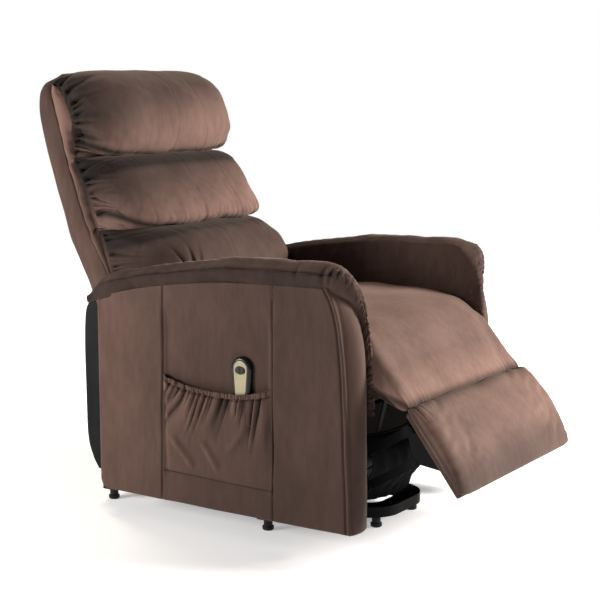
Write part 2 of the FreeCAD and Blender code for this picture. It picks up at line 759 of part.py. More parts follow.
def lower_rear(e):
    c = e.CenterOfMass
    return abs(c.y - arm_rear) < tiny_gap and abs(c.z - arm_bottom) < tiny_gap


def on_outer(e):
    box = e.BoundBox
    return box.XMin > chair_half_width - tiny_gap


panel = rounded(panel, panel_rear_round, lower_rear)
panel = rounded(panel, panel_edge_round, on_outer)
recess = block(chair_half_width - panel_recess, chair_half_width + panel_recess,
               seam_depths[0], seam_depths[1], recess_bottom, recess_top)
nodes["arm_panel_right"] = panel
nodes["arm_panel_left"] = mirrored(panel.cut(recess))
board_front = [(p[0] + board_inset, max(p[1], arm_bottom + board_inset)) for p in panel_front]
board_top = [(p[0], p[1] - panel_top_drop) for p in panel_top]
board_end = arm_rear - board_inset
board_rear = [(board_end, panel_top[-1][1] - board_inset), (board_end, arm_bottom + board_inset)]
board_outer = arm_board_inner + arm_board_thickness
board = plate(board_front + board_top[:-1] + board_rear, arm_board_inner, board_outer)
nodes["arm_boards"] = pair(board)
inner_panel = plate(inner_panel_outline, inner_panel_faces[0], inner_panel_faces[1])
nodes["arm_inner_panels"] = pair(inner_panel)


def pad_ring(depth, low, crest, inward):
    outer = pad_outer
    inner = arm_board_inner - inward
    if depth < 0:
        outer = pad_outer - pad_front_draw
    height = crest - low
    crest_x = min(pad_crest_x, outer - height * pad_round_share)
    p0 = Vector(outer, depth, low)
    p1 = Vector(outer - height * pad_bow_share, depth, low + height * pad_bow_height)
    p2 = Vector(crest_x, depth, crest)
    span = crest_x - inner
    p3 = Vector(inner + span * pad_inner_share, depth, crest - height * pad_inner_drop)
    p4 = Vector(inner, depth, low + height * pad_inner_side)
    p5 = Vector(inner, depth, low)
    edges = [Part.Arc(p0, p1, p2).toShape(), Part.Arc(p2, p3, p4).toShape()]
    edges += [Part.makeLine(p4, p5), Part.makeLine(p5, p0)]
    return Part.Wire(edges)


pad = Part.makeLoft([pad_ring(*row) for row in pad_slices], True, False)
nodes["arm_pad_right"] = pad
nodes["arm_pad_left"] = mirrored(pad)

# side pocket on the left outer panel
panel_face = chair_half_width - panel_recess
pocket_front, pocket_rear = seam_depths


def pocket_ring(z, bulge, grow):
    x = -panel_face - pocket_foot
    out = x - bulge - grow
    front = pocket_front + tiny_gap + pocket_wall - grow
    rear = pocket_rear - tiny_gap - pocket_wall + grow
    pts = [Vector(x, front, z), Vector(out, pocket_front + pocket_end_slope - grow, z)]
    pts += [Vector(out, pocket_rear - pocket_end_slope + grow, z), Vector(x, rear, z)]
    return Part.makePolygon(pts + pts[:1])


pouch = Part.makeLoft([pocket_ring(pocket_bottom, pocket_bulge_low, pocket_wall),
                       pocket_ring(pocket_lip_ends, pocket_bulge_high, pocket_wall)], True, True)
inside = Part.makeLoft([pocket_ring(pocket_bottom + pocket_wall, pocket_bulge_low, 0.0),
                        pocket_ring(pocket_lip_ends + pocket_wall, pocket_bulge_high, 0.0)], True, True)
pouch = pouch.cut(inside)
lip_middle = (pocket_front + pocket_rear) / 2
lip_x = -chair_half_width * 2
lip_arc = Part.Arc(Vector(lip_x, pocket_front - pocket_wall, pocket_lip_ends - tiny_gap),
                   Vector(lip_x, lip_middle, pocket_lip_middle),
                   Vector(lip_x, pocket_rear + pocket_wall, pocket_lip_ends - tiny_gap)).toShape()
lip_over = pocket_lip_ends + handset_face_height
lip_lines = Part.makePolygon([Vector(lip_x, pocket_rear + pocket_wall, pocket_lip_ends - tiny_gap),
                              Vector(lip_x, pocket_rear + pocket_wall, lip_over),
                              Vector(lip_x, pocket_front - pocket_wall, lip_over),
                              Vector(lip_x, pocket_front - pocket_wall, pocket_lip_ends - tiny_gap)])
lip_cut = Part.Face(Part.Wire([lip_arc] + lip_lines.Edges)).extrude(Vector(chair_half_width * 2, 0, 0))
nodes["side_pocket"] = pouch.cut(lip_cut)

# handset in the pocket, with its face plate and two buttons
hand_back = -panel_face - handset_stand_off
hand_front = hand_back - handset_thickness


def handset_ring(inset, low, high):
    def half(z):
        share = (z - handset_low) / (handset_high - handset_low)
        return handset_half_low + (handset_half_high - handset_half_low) * share - inset
    return [(handset_middle - half(low), low), (handset_middle - half(high), high),
            (handset_middle + half(high), high), (handset_middle + half(low), low)]


def upright_corner(e):
    return abs(e.tangentAt(e.FirstParameter).x) > long_way


case = plate(handset_ring(0.0, handset_low, handset_high), hand_front, hand_back)
case = rounded(case, handset_corner, upright_corner)


def front_rim(e):
    return e.BoundBox.XMax < hand_front + tiny_gap


case = rounded(case, handset_edge_round, front_rim)
face_low = handset_high - handset_face_height
face_high = handset_high - handset_face_drop
face_ring = handset_ring(handset_face_inset, face_low, face_high)
face = plate(face_ring, hand_front - handset_face_thickness, hand_front)
face = rounded(face, handset_corner - handset_face_drop, upright_corner)
button_mid = handset_high - button_drop


def button_box(side, grow, deeper):
    y = handset_middle + side * (button_gap + button_length) / 2
    x0 = hand_front - handset_face_thickness - button_proud
    x1 = hand_front + button_root + deeper
    half_y = button_length / 2 + grow
    half_z = button_height / 2 + grow
    return block(x0, x1, y - half_y, y + half_y, button_mid - half_z, button_mid + half_z)


for side in (-1, 1):
    case = case.cut(button_box(side, button_play, button_travel + button_play))
    face = face.cut(button_box(side, button_play, 0.0))
nodes["handset_case"] = case
nodes["handset_face"] = face
nodes["button_up"] = rounded(button_box(1, 0.0, 0.0), button_round, upright_corner)
nodes["button_down"] = rounded(button_box(-1, 0.0, 0.0), button_round, upright_corner)

# footrest board, cushion and brackets on the leaning board line
board_dir = turned((0.0, -1.0), -footrest_tilt)
board_out = (board_dir[1], -board_dir[0])


def on_board(s, n):
    return plus(plus(footrest_top, board_dir, s), board_out, n)


board_far = footrest_length - board_end_inset
board_corners = [(board_end_inset, 0.0), (board_far, 0.0), (board_far, board_thickness)]
board_corners += [(board_end_inset, board_thickness)]
foot_board = plate([on_board(a, b) for a, b in board_corners], -board_half_width, board_half_width)
nodes["footrest_board"] = foot_board.makeFillet(board_edge_round, foot_board.Edges)
crest = [on_board(s, n + foot_pad_gap) for s, n in foot_pad_crest]
foot_steps = [crest[0], (crest[1], crest[2]), (crest[3], crest[4]), (crest[5], crest[6]), (crest[0],)]
foot_anchor = on_board(footrest_length / 2, foot_pad_crest[0][1] + foot_pad_gap)
nodes["footrest_cushion"] = cushion(
    foot_steps, foot_anchor, stations(foot_pad_half_width, foot_pad_edge_scale, foot_pad_crown_scale))

# footrest linkage: two crossed parallelograms on each side
drive_vec = minus(drive_end, drive_pivot)
long_vec = minus(turn_centre, drive_pivot)
bracket_low = plus(drive_end, long_vec)
drive_unit = unit(drive_vec)
control_start = plus(drive_end, drive_unit, -control_offset)
bracket_high = plus(bracket_low, drive_unit, -control_offset)
idler_end = plus(drive_end, idler_dir, idler_offset)
drive_outer = drive_layer + link_thickness
long_outer = long_layer + link_thickness


def drilled(shape, spots, radius):
    for spot in spots:
        shape = hole(shape, spot, radius, 0.0, 0.0)
    return shape


run_hole = link_pin_radius + joint_gap
drive_link = link(drive_pivot, drive_end, link_width, drive_layer, drive_outer)
nodes["footrest_drive_links"] = pair(drilled(drive_link, [drive_pivot, drive_end, control_start], run_hole))
idler_link = link(idler_pivot, idler_end, link_width, drive_layer, drive_outer)
nodes["footrest_idler_links"] = pair(drilled(idler_link, [idler_pivot, idler_end], run_hole))
long_link = link(drive_end, bracket_low, link_width, long_layer, long_outer)
nodes["footrest_long_links"] = pair(drilled(long_link, [drive_end, idler_end, bracket_low], run_hole))
control_link = link(control_start, bracket_high, link_width, long_layer, long_outer)
nodes["footrest_control_links"] = pair(drilled(control_link, [control_start, bracket_high], run_hole))
bracket_a, bracket_b = bracket_foot
bracket_line = [on_board(bracket_a, -bracket_flange), on_board(bracket_b, -bracket_flange)]
bracket = plate(bracket_line + [bracket_low, bracket_high], drive_layer, drive_outer)
bracket = bracket.multiFuse([rod_x(bracket_low, bracket_boss, drive_layer, drive_outer),
                             rod_x(bracket_high, bracket_boss, drive_layer, drive_outer)])
flange_ring = bracket_line + [on_board(bracket_b, 0.0), on_board(bracket_a, 0.0)]
flange = plate(flange_ring, drive_outer - bracket_flange_depth, drive_outer)
bracket = drilled(bracket.fuse(flange), [bracket_low, bracket_high], run_hole).removeSplitter()
nodes["footrest_brackets"] = pair(bracket)
drive_tube = round_tube(drive_pivot, drive_tube_radius, drive_tube_wall, drive_layer)
nodes["footrest_drive_tube"] = drive_tube


def rivet(p, x0, x1):
    shank = rod_x(p, link_pin_radius, x0, x1)
    low_head = rod_x(p, link_pin_head_radius, x0 - link_pin_head, x0)
    high_head = rod_x(p, link_pin_head_radius, x1, x1 + link_pin_head)
    return shank.multiFuse([low_head, high_head])


def stub(p, x0, x1):
    return rod_x(p, link_pin_radius, x0, x1).fuse(rod_x(p, link_pin_head_radius, x1, x1 + link_pin_head))


stub_end = frame_outer + washer_gap
frame_stubs = [stub(spot, drive_layer, stub_end) for spot in (drive_pivot, idler_pivot)]
frame_pins = [top_pin, hang_pin] + frame_stubs
nodes["frame_pivot_pins"] = group(frame_pins + [mirrored(r) for r in frame_pins])
rivet_ends = (long_layer - washer_gap, drive_outer + washer_gap)
long_rivets = [rivet(p, *rivet_ends) for p in (drive_end, idler_end, bracket_low)]
nodes["long_link_rivets"] = group(long_rivets + [mirrored(r) for r in long_rivets])
control_rivets = [rivet(p, *rivet_ends) for p in (control_start, bracket_high)]
nodes["control_link_rivets"] = group(control_rivets + [mirrored(r) for r in control_rivets])

# backrest frame
back_outer = back_plate_inner + back_plate_thickness
back_plate = plate(back_plate_outline, back_plate_inner, back_outer)
back_plate = back_plate.fuse(rod_x(back_hinge, back_plate_boss, back_plate_inner, back_outer))
back_plate = hole(back_plate, back_hinge, back_pin_radius + joint_gap, 0.0, 0.0).removeSplitter()
nodes["back_hinge_plates"] = pair(back_plate)
back_pin = pin(back_hinge, back_pin_radius, frame_plate_inner - pin_head, back_outer)
nodes["back_hinge_pins"] = pair(back_pin)
upright = plate(upright_outline, upright_faces[0], upright_faces[1])
nodes["back_uprights"] = pair(upright)
lean = math.radians(back_lean)
up_dir = (math.sin(lean), math.cos(lean))
fore_dir = (-math.cos(lean), math.sin(lean))


def rail(centre):
    tall, thick = rail_section
    a = tall / 2
    b = thick / 2
    corners = [(-a, -b), (a, -b), (a, b), (-a, b)]
    pts = [plus(plus(centre, up_dir, u), fore_dir, v) for u, v in corners]
    return plate(pts, -upright_faces[0], upright_faces[0])


nodes["back_rails"] = group([rail(c) for c in rail_centres])
side_pad = plate(upright_outline, side_pad_faces[0], side_pad_faces[1])


def on_side_face(e):
    return e.BoundBox.XMin > side_pad_faces[1] - tiny_gap


side_pad = rounded(side_pad, side_pad_round, on_side_face)
nodes["back_side_pads"] = pair(side_pad)
shell = Part.Face(ring(shell_steps, -shell_half_width)).extrude(Vector(2 * shell_half_width, 0, 0))
nodes["back_outer_panel"] = shell

# three back pillows, fullest in the middle and drawn in at the ends
for name, steps, anchor, half in (("lumbar_pillow", lumbar_steps, lumbar_anchor, lumbar_half_width),
                                  ("middle_pillow", middle_steps, middle_anchor, pillow_half_width),
                                  ("head_pillow", head_steps, head_anchor, pillow_half_width)):
    nodes[name] = cushion(steps, anchor, stations(half, pillow_edge_scale, pillow_crown_scale))

# black rear skirt: a rear sheet with two side wings
inner_line = [(p[0] - skirt_thickness, p[1]) for p in skirt_line]
rear_sheet = plate(skirt_line + inner_line[::-1], -skirt_side, skirt_side)
wing_ring = [(skirt_front, skirt_top)] + [inner_line[0]] + inner_line[1:] + [(skirt_front, skirt_foot)]
wing = plate(wing_ring, skirt_side - skirt_thickness, skirt_side)
nodes["rear_skirt"] = rear_sheet.multiFuse([wing, mirrored(wing)]).removeSplitter()

# black front curtain on its bent rod
def curtain_ring(z, depth):
    side = curtain_half_width
    out_mid = Vector(0, depth, z)
    out_a = Vector(-side, depth + curtain_wrap, z)
    out_b = Vector(side, depth + curtain_wrap, z)
    back = Vector(0, curtain_thickness, 0)
    edges = [Part.Arc(out_a, out_mid, out_b).toShape(), Part.makeLine(out_b, out_b + back)]
    edges += [Part.Arc(out_b + back, out_mid + back, out_a + back).toShape()]
    edges += [Part.makeLine(out_a + back, out_a)]
    return Part.Wire(edges)


nodes["front_curtain"] = Part.makeLoft([curtain_ring(*row) for row in curtain_levels], True, False)
rod_a = Vector(-curtain_half_width, rod_depth + curtain_wrap, rod_height)
rod_b = Vector(curtain_half_width, rod_depth + curtain_wrap, rod_height)
rod_path = Part.Wire([Part.Arc(rod_a, Vector(0, rod_depth, rod_height), rod_b).toShape()])
rod_start_dir = rod_path.Edges[0].tangentAt(rod_path.Edges[0].FirstParameter)
rod_ring = Part.Wire([Part.makeCircle(rod_radius_curtain, rod_a, rod_start_dir)])
curtain_rod = rod_path.makePipeShell([rod_ring], True, False)
strap_depth = rod_depth + curtain_wrap * (rod_strap_x / curtain_half_width) ** 2
rail_back = front_rail_depths[1]
strap_back = rail_back + rod_strap_thickness
strap_high = wood_low + rod_strap_width
strap_ring = [(rail_back, strap_high), (strap_back, strap_high), (strap_back, wood_low)]
strap_ring += [(strap_depth + rod_strap_thickness, rod_height), (strap_depth, rod_height)]
strap_ring += [(rail_back, wood_low)]
half_strap = rod_strap_width / 2
rod_strap = plate(strap_ring, rod_strap_x - half_strap, rod_strap_x + half_strap)
nodes["curtain_rod"] = curtain_rod.multiFuse([rod_strap, mirrored(rod_strap)])

# move the origin under the middle and write each piece
boxes = [s.optimalBoundingBox(False) for s in nodes.values()]
low = min(b.YMin for b in boxes)
high = max(b.YMax for b in boxes)
origin_depth = round((low + high) / 2, 1)
os.makedirs("parts", exist_ok=True)
for name, shape in nodes.items():
    shape.translate(Vector(0, -origin_depth, 0))
    shape.exportStep("parts/" + name + ".step")
print("origin depth", origin_depth, "pieces", len(nodes))
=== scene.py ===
"""Looks of a power lift recliner in brown velvet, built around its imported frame.

Lengths are metres. Shapes are worked out with depth measured back from the arm fronts and are
moved onto the frame by front_line at the end, in lay().
"""

import json
import math

import bpy
import numpy as np
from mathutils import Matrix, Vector


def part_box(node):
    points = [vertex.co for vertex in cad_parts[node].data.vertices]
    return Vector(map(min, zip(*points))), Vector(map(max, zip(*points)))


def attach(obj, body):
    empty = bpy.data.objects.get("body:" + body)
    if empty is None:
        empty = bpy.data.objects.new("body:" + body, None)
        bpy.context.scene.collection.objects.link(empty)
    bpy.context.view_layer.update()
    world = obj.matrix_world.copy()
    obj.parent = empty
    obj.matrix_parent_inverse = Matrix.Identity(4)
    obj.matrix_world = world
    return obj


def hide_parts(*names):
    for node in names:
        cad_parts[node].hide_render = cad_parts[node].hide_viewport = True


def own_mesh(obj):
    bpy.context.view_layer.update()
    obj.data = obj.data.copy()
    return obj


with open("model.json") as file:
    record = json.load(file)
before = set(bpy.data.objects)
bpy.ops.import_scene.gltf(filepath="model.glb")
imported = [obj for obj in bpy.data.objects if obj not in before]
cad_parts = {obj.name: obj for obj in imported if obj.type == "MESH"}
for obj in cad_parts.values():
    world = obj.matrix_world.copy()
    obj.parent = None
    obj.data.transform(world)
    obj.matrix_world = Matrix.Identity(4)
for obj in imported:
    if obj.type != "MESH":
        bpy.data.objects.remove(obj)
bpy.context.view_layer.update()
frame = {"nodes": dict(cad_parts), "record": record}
scene = bpy.context.scene
front_line = -0.3484
pi = math.pi


# lines, waves and noise
def length_along(line):
    """Distance along a line of points from its first."""
    return np.concatenate([[0], np.cumsum(np.linalg.norm(np.diff(line, axis=0), axis=1))])


def curve(points, count, closed=False):
    """A smooth line through the points (a cubic blend over each run of four), evenly spaced by length."""
    p = np.asarray(points, float)
    if closed:
        q = np.vstack([p[-1:], p, p[:2]])
    else:
        q = np.vstack([2 * p[:1] - p[1:2], p, 2 * p[-1:] - p[-2:-1]])
    a, b, c, d = q[:-3, None], q[1:-2, None], q[2:-1, None], q[3:, None]
    t = np.linspace(0, 1, 40, endpoint=False)[None, :, None]
    runs = b + t * (c - a) / 2 + t**2 * (a - 2.5 * b + 2 * c - d / 2)
    runs = runs + t**3 * (1.5 * b - a / 2 - 1.5 * c + d / 2)
    line = np.vstack([runs.reshape(-1, p.shape[1]), p[:1] if closed else p[-1:]])
    way = length_along(line)
    at = np.linspace(0, way[-1], count, endpoint=not closed)
    return np.stack([np.interp(at, way, line[:, k]) for k in range(p.shape[1])], 1)


def through(points, at):
    """The second coordinate of a smooth line through the points, read at the first coordinate."""
    line = curve(points, 400)
    order = np.argsort(line[:, 0])
    return np.interp(at, line[order, 0], line[order, 1])


def wave(t, seed, rough=5):
    """A sum of sines with seeded speeds and phases, between about -1 and 1."""
    rng = np.random.default_rng(seed)
    speed = rng.uniform(0.35, 1.6, rough)
    phase = rng.uniform(0, 2 * pi, rough)
    return np.sin(np.asarray(t)[..., None] * speed * 2 * pi + phase).sum(-1) / math.sqrt(rough)


def cloud(a, b, seed, size, rough=9):
    """Soft lumps of about that size: plane waves of seeded headings added together, between about -1 and 1."""
    rng = np.random.default_rng(seed)
    head = rng.uniform(0, 2 * pi, rough)
    speed = rng.uniform(0.6, 1.5, rough) / size
    phase = rng.uniform(0, 2 * pi, rough)
    way = a[..., None] * np.cos(head) + b[..., None] * np.sin(head)
    return np.sin(way * speed * 2 * pi + phase).sum(-1) / math.sqrt(rough)


def lobes(t, pitch, seed, sharp=0.6):
    """Rounded ridges with narrow valleys, unevenly spaced about that pitch: 0 in a valley and 1 on a ridge."""
    s = t / pitch
    s = s + 0.42 * wave(s * 0.45, seed) + 0.12 * wave(s * 0.9, seed + 1)
    return np.abs(np.sin(pi * s)) ** sharp


def bump(d, width, power=2):
    """A bell of height 1 at d = 0: exp(-(d / width) ** power)."""
    return np.exp(-((d / width) ** power))


def ease(t):
    """0 before 0, 1 after 1, and smooth between."""
    t = np.clip(t, 0, 1)
    return t * t * (3 - 2 * t)


# meshes from grids
def with_x(x, yz):
    """A grid from places across the chair and a grid of depths and heights."""
    return np.concatenate([np.broadcast_to(x, yz.shape[:2])[..., None], yz], 2)


def normals(grid, closed=False):
    """Unit normals of a grid: the cross product of its row and column slopes."""
    du = np.gradient(grid, axis=0)
    if closed:
        dv = (np.roll(grid, -1, 1) - np.roll(grid, 1, 1)) / 2
    else:
        dv = np.gradient(grid, axis=1)
    n = np.cross(du, dv)
    return n / np.maximum(np.linalg.norm(n, axis=-1, keepdims=True), 1e-9)


def lay(name, grid, finish, closed=False, poles=False, flip=False, side=1.0, shade=1.0):
    """A mesh of quads between a grid's rows and columns. closed joins the last column to the first, poles closes
    the first and last rows with fans, and side -1 mirrors the piece across the chair. shade is painted light and
    shade at each point, a factor on the colour, and is kept in an attribute that the velvets read."""
    grid = np.array(grid, float)
    grid[..., 0] *= side
    grid[..., 1] += front_line
    rows, cols = grid.shape[:2]
    n = np.arange(rows * cols).reshape(rows, cols)
    m = np.hstack([n, n[:, :1]]) if closed else n
    quads = np.stack([m[:-1, :-1], m[1:, :-1], m[1:, 1:], m[:-1, 1:]], -1).reshape(-1, 4)
    flip = flip != (side < 0)
    if flip:
        quads = quads[:, ::-1]
    verts = grid.reshape(-1, 3)
    faces = quads.tolist()
    if poles:
        verts = np.vstack([verts, grid[0].mean(0), grid[-1].mean(0)])
        ends = [(m[0], rows * cols, not flip), (m[-1], rows * cols + 1, flip)]
        for line, tip, turned in ends:
            fan = np.stack([line[:-1], line[1:], np.full(len(line) - 1, tip)], 1)
            faces += (fan[:, ::-1] if not turned else fan).tolist()
    mesh = bpy.data.meshes.new(name)
    mesh.from_pydata(verts.tolist(), [], faces)
    mesh.polygons.foreach_set("use_smooth", np.ones(len(faces), bool))
    mesh.materials.append(finish)
    tone = np.broadcast_to(shade, (rows, cols)).ravel()
    if poles:
        tone = np.concatenate([tone, tone[:1], tone[-1:]])
    mesh.attributes.new("shade", "FLOAT", "POINT").data.foreach_set("value", tone.astype(np.float32))
    obj = bpy.data.objects.new(name, mesh)
    scene.collection.objects.link(obj)
    mesh.update()
    return obj


# finishes
def new_finish(name):
    """A new material with its nodes, links, shader and texture coordinates."""
    mat = bpy.data.materials.new(name)
    mat.use_nodes = True
    nodes, links = mat.node_tree.nodes, mat.node_tree.links
    shader = nodes["Principled BSDF"]
    place = nodes.new("ShaderNodeTexCoord")
    return mat, nodes, links, shader, place


def put(node, values):
    """Sets a node's inputs from names and values."""
    for name, value in values.items():
        node.inputs[name].default_value = value


def noise(nodes, links, vector, scale, detail=3.0, rough=0.5):
    """The height of a noise texture read at vector."""
    n = nodes.new("ShaderNodeTexNoise")
    put(n, {"Scale": scale, "Detail": detail, "Roughness": rough})
    links.new(vector, n.inputs["Vector"])
    return n.outputs["Fac"]


def ramp(nodes, links, fac, stops):
    """A colour ramp over fac, from stops of a place and a colour."""
    r = nodes.new("ShaderNodeValToRGB")
    e = r.color_ramp.elements
    while len(e) < len(stops):
        e.new(0.5)
    for item, (at, colour) in zip(e, stops):
        item.position = at
        item.color = (*colour, 1)
    links.new(fac, r.inputs["Fac"])
    return r.outputs["Color"]


def stretched(nodes, links, vector, scale):
    """Texture coordinates scaled along each axis."""
    m = nodes.new("ShaderNodeMapping")
    m.inputs["Scale"].default_value = scale
    links.new(vector, m.inputs["Vector"])
    return m.outputs["Vector"]


def bumped(nodes, links, shader, heights):
    """Chains bump nodes: each row is a height output, a strength and a depth in metres."""
    last = None
    for height, strength, depth in heights:
        b = nodes.new("ShaderNodeBump")
        put(b, {"Strength": strength, "Distance": depth})
        links.new(height, b.inputs["Height"])
        if last is not None:
            links.new(last, b.inputs["Normal"])
        last = b.outputs["Normal"]
    links.new(last, shader.inputs["Normal"])


def velvet(name, dark, light, sheen, shaded=True):
    """Brown velvet: brushed patches of two browns, a fine nap and a sheen at glancing angles, with the colour
    made lighter or darker by the piece's painted light and shade."""
    brush_share = 0.42
    mat, nodes, links, shader, place = new_finish(name)
    at = place.outputs["Object"]
    patch = noise(nodes, links, stretched(nodes, links, at, (1, 1, 0.55)), 9.0, 5.0, 0.62)
    brush = noise(nodes, links, stretched(nodes, links, at, (1, 1, 0.25)), 70.0, 3.0, 0.6)
    mix = nodes.new("ShaderNodeMath")
    mix.operation = "MULTIPLY_ADD"
    mix.inputs[1].default_value = brush_share
    links.new(brush, mix.inputs[0])
    rest = nodes.new("ShaderNodeMath")
    rest.operation = "MULTIPLY"
    rest.inputs[1].default_value = 1 - brush_share
    links.new(patch, rest.inputs[0])
    links.new(rest.outputs[0], mix.inputs[2])
    colour = ramp(nodes, links, mix.outputs[0], [(0.37, dark), (0.63, light)])
    if shaded:
        # painted light and shade: the colour is scaled by the piece's shade attribute
        painted_shade_factor = nodes.new("ShaderNodeAttribute")
        painted_shade_factor.attribute_name = "shade"
        scaled = nodes.new("ShaderNodeVectorMath")
        scaled.operation = "SCALE"
        links.new(colour, scaled.inputs[0])
        links.new(painted_shade_factor.outputs["Fac"], scaled.inputs["Scale"])
        colour = scaled.outputs["Vector"]
    links.new(colour, shader.inputs["Base Color"])
    put(shader, {"Roughness": 0.86, "Specular IOR Level": 0.22, "Sheen Weight": sheen, "Sheen Roughness": 0.42,
                 "Sheen Tint": (0.95, 0.74, 0.62, 1)})
    nap_and_painted_light = noise(nodes, links, at, 1400.0, 2.0, 0.7)
    bumped(nodes, links, shader, [(nap_and_painted_light, 0.35, 0.0004), (brush, 0.18, 0.0012)])
    return mat


def plain_finish(name, low, high, rough, metal=0.0, grain=300.0, depth=0.0002, coat=0.0, spec=0.5,
                 stretch=(1, 1, 1)):
    """A hard finish with faint colour change, uneven gloss and a fine grain."""
    mat, nodes, links, shader, place = new_finish(name)
    at = stretched(nodes, links, place.outputs["Object"], stretch)
    big = noise(nodes, links, at, 14.0, 4.0)
    fine = noise(nodes, links, at, grain, 3.0)
    links.new(ramp(nodes, links, big, [(0.3, low), (0.7, high)]), shader.inputs["Base Color"])
    gloss = nodes.new("ShaderNodeMapRange")
    put(gloss, {"To Min": rough * 0.85, "To Max": min(1.0, rough * 1.2)})
    links.new(fine, gloss.inputs["Value"])
    links.new(gloss.outputs["Result"], shader.inputs["Roughness"])
    put(shader, {"Metallic": metal, "Specular IOR Level": spec, "Coat Weight": coat})
    bumped(nodes, links, shader, [(fine, 0.3, depth)])
    return mat


brown = velvet("brown_velvet", (0.055, 0.0310, 0.0242), (0.078, 0.0468, 0.0372), 0.08)
brown_side = velvet("brown_velvet_panel", (0.056, 0.031, 0.023), (0.080, 0.046, 0.036), 0.14)
# the arm covers' velvet is a darker copy of the same brown velvet: painted shade
brown_arm_shaded = velvet("brown_velvet_arm_painted_shade", (0.030, 0.016, 0.012), (0.050, 0.028, 0.022), 0.12)
# the frame's own velvet parts get a darker copy of the brown velvet, without the shade attribute: painted shade
brown_deep_shaded = velvet("brown_velvet_shade", (0.034, 0.018, 0.014), (0.055, 0.031, 0.024), 0.14, shaded=False)
near_black = (0.0035, 0.0035, 0.004), (0.007, 0.007, 0.0075)
hard_rows = {
    "black_cloth": (*near_black, 0.85, {"grain": 900, "depth": 0.0004, "spec": 0.06}),
    "black_steel": ((0.0032, 0.0032, 0.0036), (0.0062, 0.0062, 0.0066), 0.52, {"grain": 700, "spec": 0.05}),
    "zinc_steel": ((0.13, 0.13, 0.13), (0.20, 0.20, 0.195), 0.40, {"metal": 1.0, "grain": 500}),
    "frame_wood": ((0.012, 0.008, 0.005), (0.021, 0.014, 0.008), 0.70, {"grain": 120, "stretch": (1, 0.08, 1)}),
    "black_plastic": ((0.008, 0.008, 0.009), (0.013, 0.013, 0.014), 0.42, {"grain": 900, "spec": 0.16}),
    "gloss_black": ((0.005, 0.005, 0.006), (0.009, 0.009, 0.010), 0.26, {"coat": 0.08, "spec": 0.18}),
    "champagne": ((0.215, 0.190, 0.105), (0.270, 0.240, 0.140), 0.36, {"metal": 0.25, "grain": 800}),
    "skirt_black": (*near_black, 0.55, {"grain": 500, "depth": 0.0003, "spec": 0.08}),
}
finishes = {name: plain_finish(name, *row, **more) for name, (*row, more) in hard_rows.items()}
finishes["brown_velvet"] = brown_deep_shaded
slot_of = {part["node"]: part["material_slot"] for part in frame["record"]["subparts"]}
for name, solid in frame["nodes"].items():
    solid.data.materials.clear()
    solid.data.materials.append(finishes[slot_of[name]])


# camera, light and floor
eye = Vector((-2.8965, -1.9081, 1.0209))
turn, dip = math.radians(-56.591), math.radians(8.5056)
ahead = Vector((-math.sin(turn) * math.cos(dip), math.cos(turn) * math.cos(dip), -math.sin(dip)))
camera = bpy.data.objects.new("camera", bpy.data.cameras.new("camera"))
camera.data.lens = 86.3946
camera.data.sensor_width = 36
camera.location = eye
camera.rotation_mode = "QUATERNION"
camera.rotation_quaternion = ahead.to_track_quat("-Z", "Y")
scene.collection.objects.link(camera)
scene.camera = camera


def lamp(name, place, aim, size, power, tint):
    """A soft round lamp at place, turned towards aim."""
    light = bpy.data.lights.new(name, "AREA")
    light.shape = "DISK"
    light.size = size
    light.energy = power
    light.color = tint
    obj = bpy.data.objects.new(name, light)
    obj.location = place
    obj.rotation_mode = "QUATERNION"
    obj.rotation_quaternion = (Vector(aim) - Vector(place)).to_track_quat("-Z", "Y")
    scene.collection.objects.link(obj)


lamp("key", (1.6, -3.0, 1.55), (0, 0, 0.55), 1.1, 330, (1, 0.95, 0.90))
lamp("fill", (-2.5, 1.7, 0.95), (-0.1, 0.1, 0.4), 0.9, 85, (1, 0.96, 0.93))
lamp("rim", (0.4, 1.7, 2.6), (0, 0.5, 1.0), 0.7, 34, (1, 0.86, 0.66))
world = bpy.data.worlds.new("studio")
scene.world = world
world.use_nodes = True
world_nodes, world_links = world.node_tree.nodes, world.node_tree.links
heading = world_nodes.new("ShaderNodeTexCoord")
towards = world_nodes.new("ShaderNodeVectorMath")
towards.operation = "DOT_PRODUCT"
towards.inputs[1].default_value = ahead
world_links.new(heading.outputs["Generated"], towards.inputs[0])
backdrop = ramp(world_nodes, world_links, towards.outputs["Value"],
                [(0.930, (0.20, 0.20, 0.20)), (0.957, (1, 1, 1))])
world_links.new(backdrop, world_nodes["Background"].inputs["Color"])
world_nodes["Background"].inputs["Strength"].default_value = 1.0
scene.view_settings.view_transform = "Standard"


def floor_finish():
    """A pale floor that glows more away from the chair, so that it meets the backdrop without an edge."""
    mat, nodes, links, shader, place = new_finish("pale_floor")
    put(shader, {"Base Color": (0.86, 0.86, 0.86, 1), "Roughness": 0.9, "Specular IOR Level": 0.1,
                 "Emission Color": (1, 1, 1, 1)})
    reach = nodes.new("ShaderNodeVectorMath")
    reach.operation = "LENGTH"
    links.new(place.outputs["Object"], reach.inputs[0])
    glow = nodes.new("ShaderNodeMapRange")
    put(glow, {"From Min": 0.9, "From Max": 2.4, "To Min": 0.35, "To Max": 1.0})
    links.new(reach.outputs["Value"], glow.inputs["Value"])
    links.new(glow.outputs["Result"], shader.inputs["Emission Strength"])
    return mat


def pale_floor():
    """A round floor 6 m in radius: rings of points round the chair."""
    turn = np.linspace(0, 2 * pi, 97)[:-1]
    reach = np.concatenate([[0.02], np.linspace(0.2, 6.0, 40)])[:, None]
    return np.stack([reach * np.cos(turn), reach * np.sin(turn) - front_line, 0 * reach * turn], 2)


floor = lay("pale_floor", pale_floor(), floor_finish(), closed=True)


def dress(obj, body, *nodes, fill=None, slot="brown_velvet"):
    """Says which body the piece rides on and which nodes it stands for; its finish slot is not used."""
    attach(obj, body)
    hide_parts(*nodes)


def walled(obj, thickness):
    """Gives a single sheet its thickness, inwards."""
    wall = obj.modifiers.new("wall", "SOLIDIFY")
    wall.thickness = thickness
    wall.offset = -1
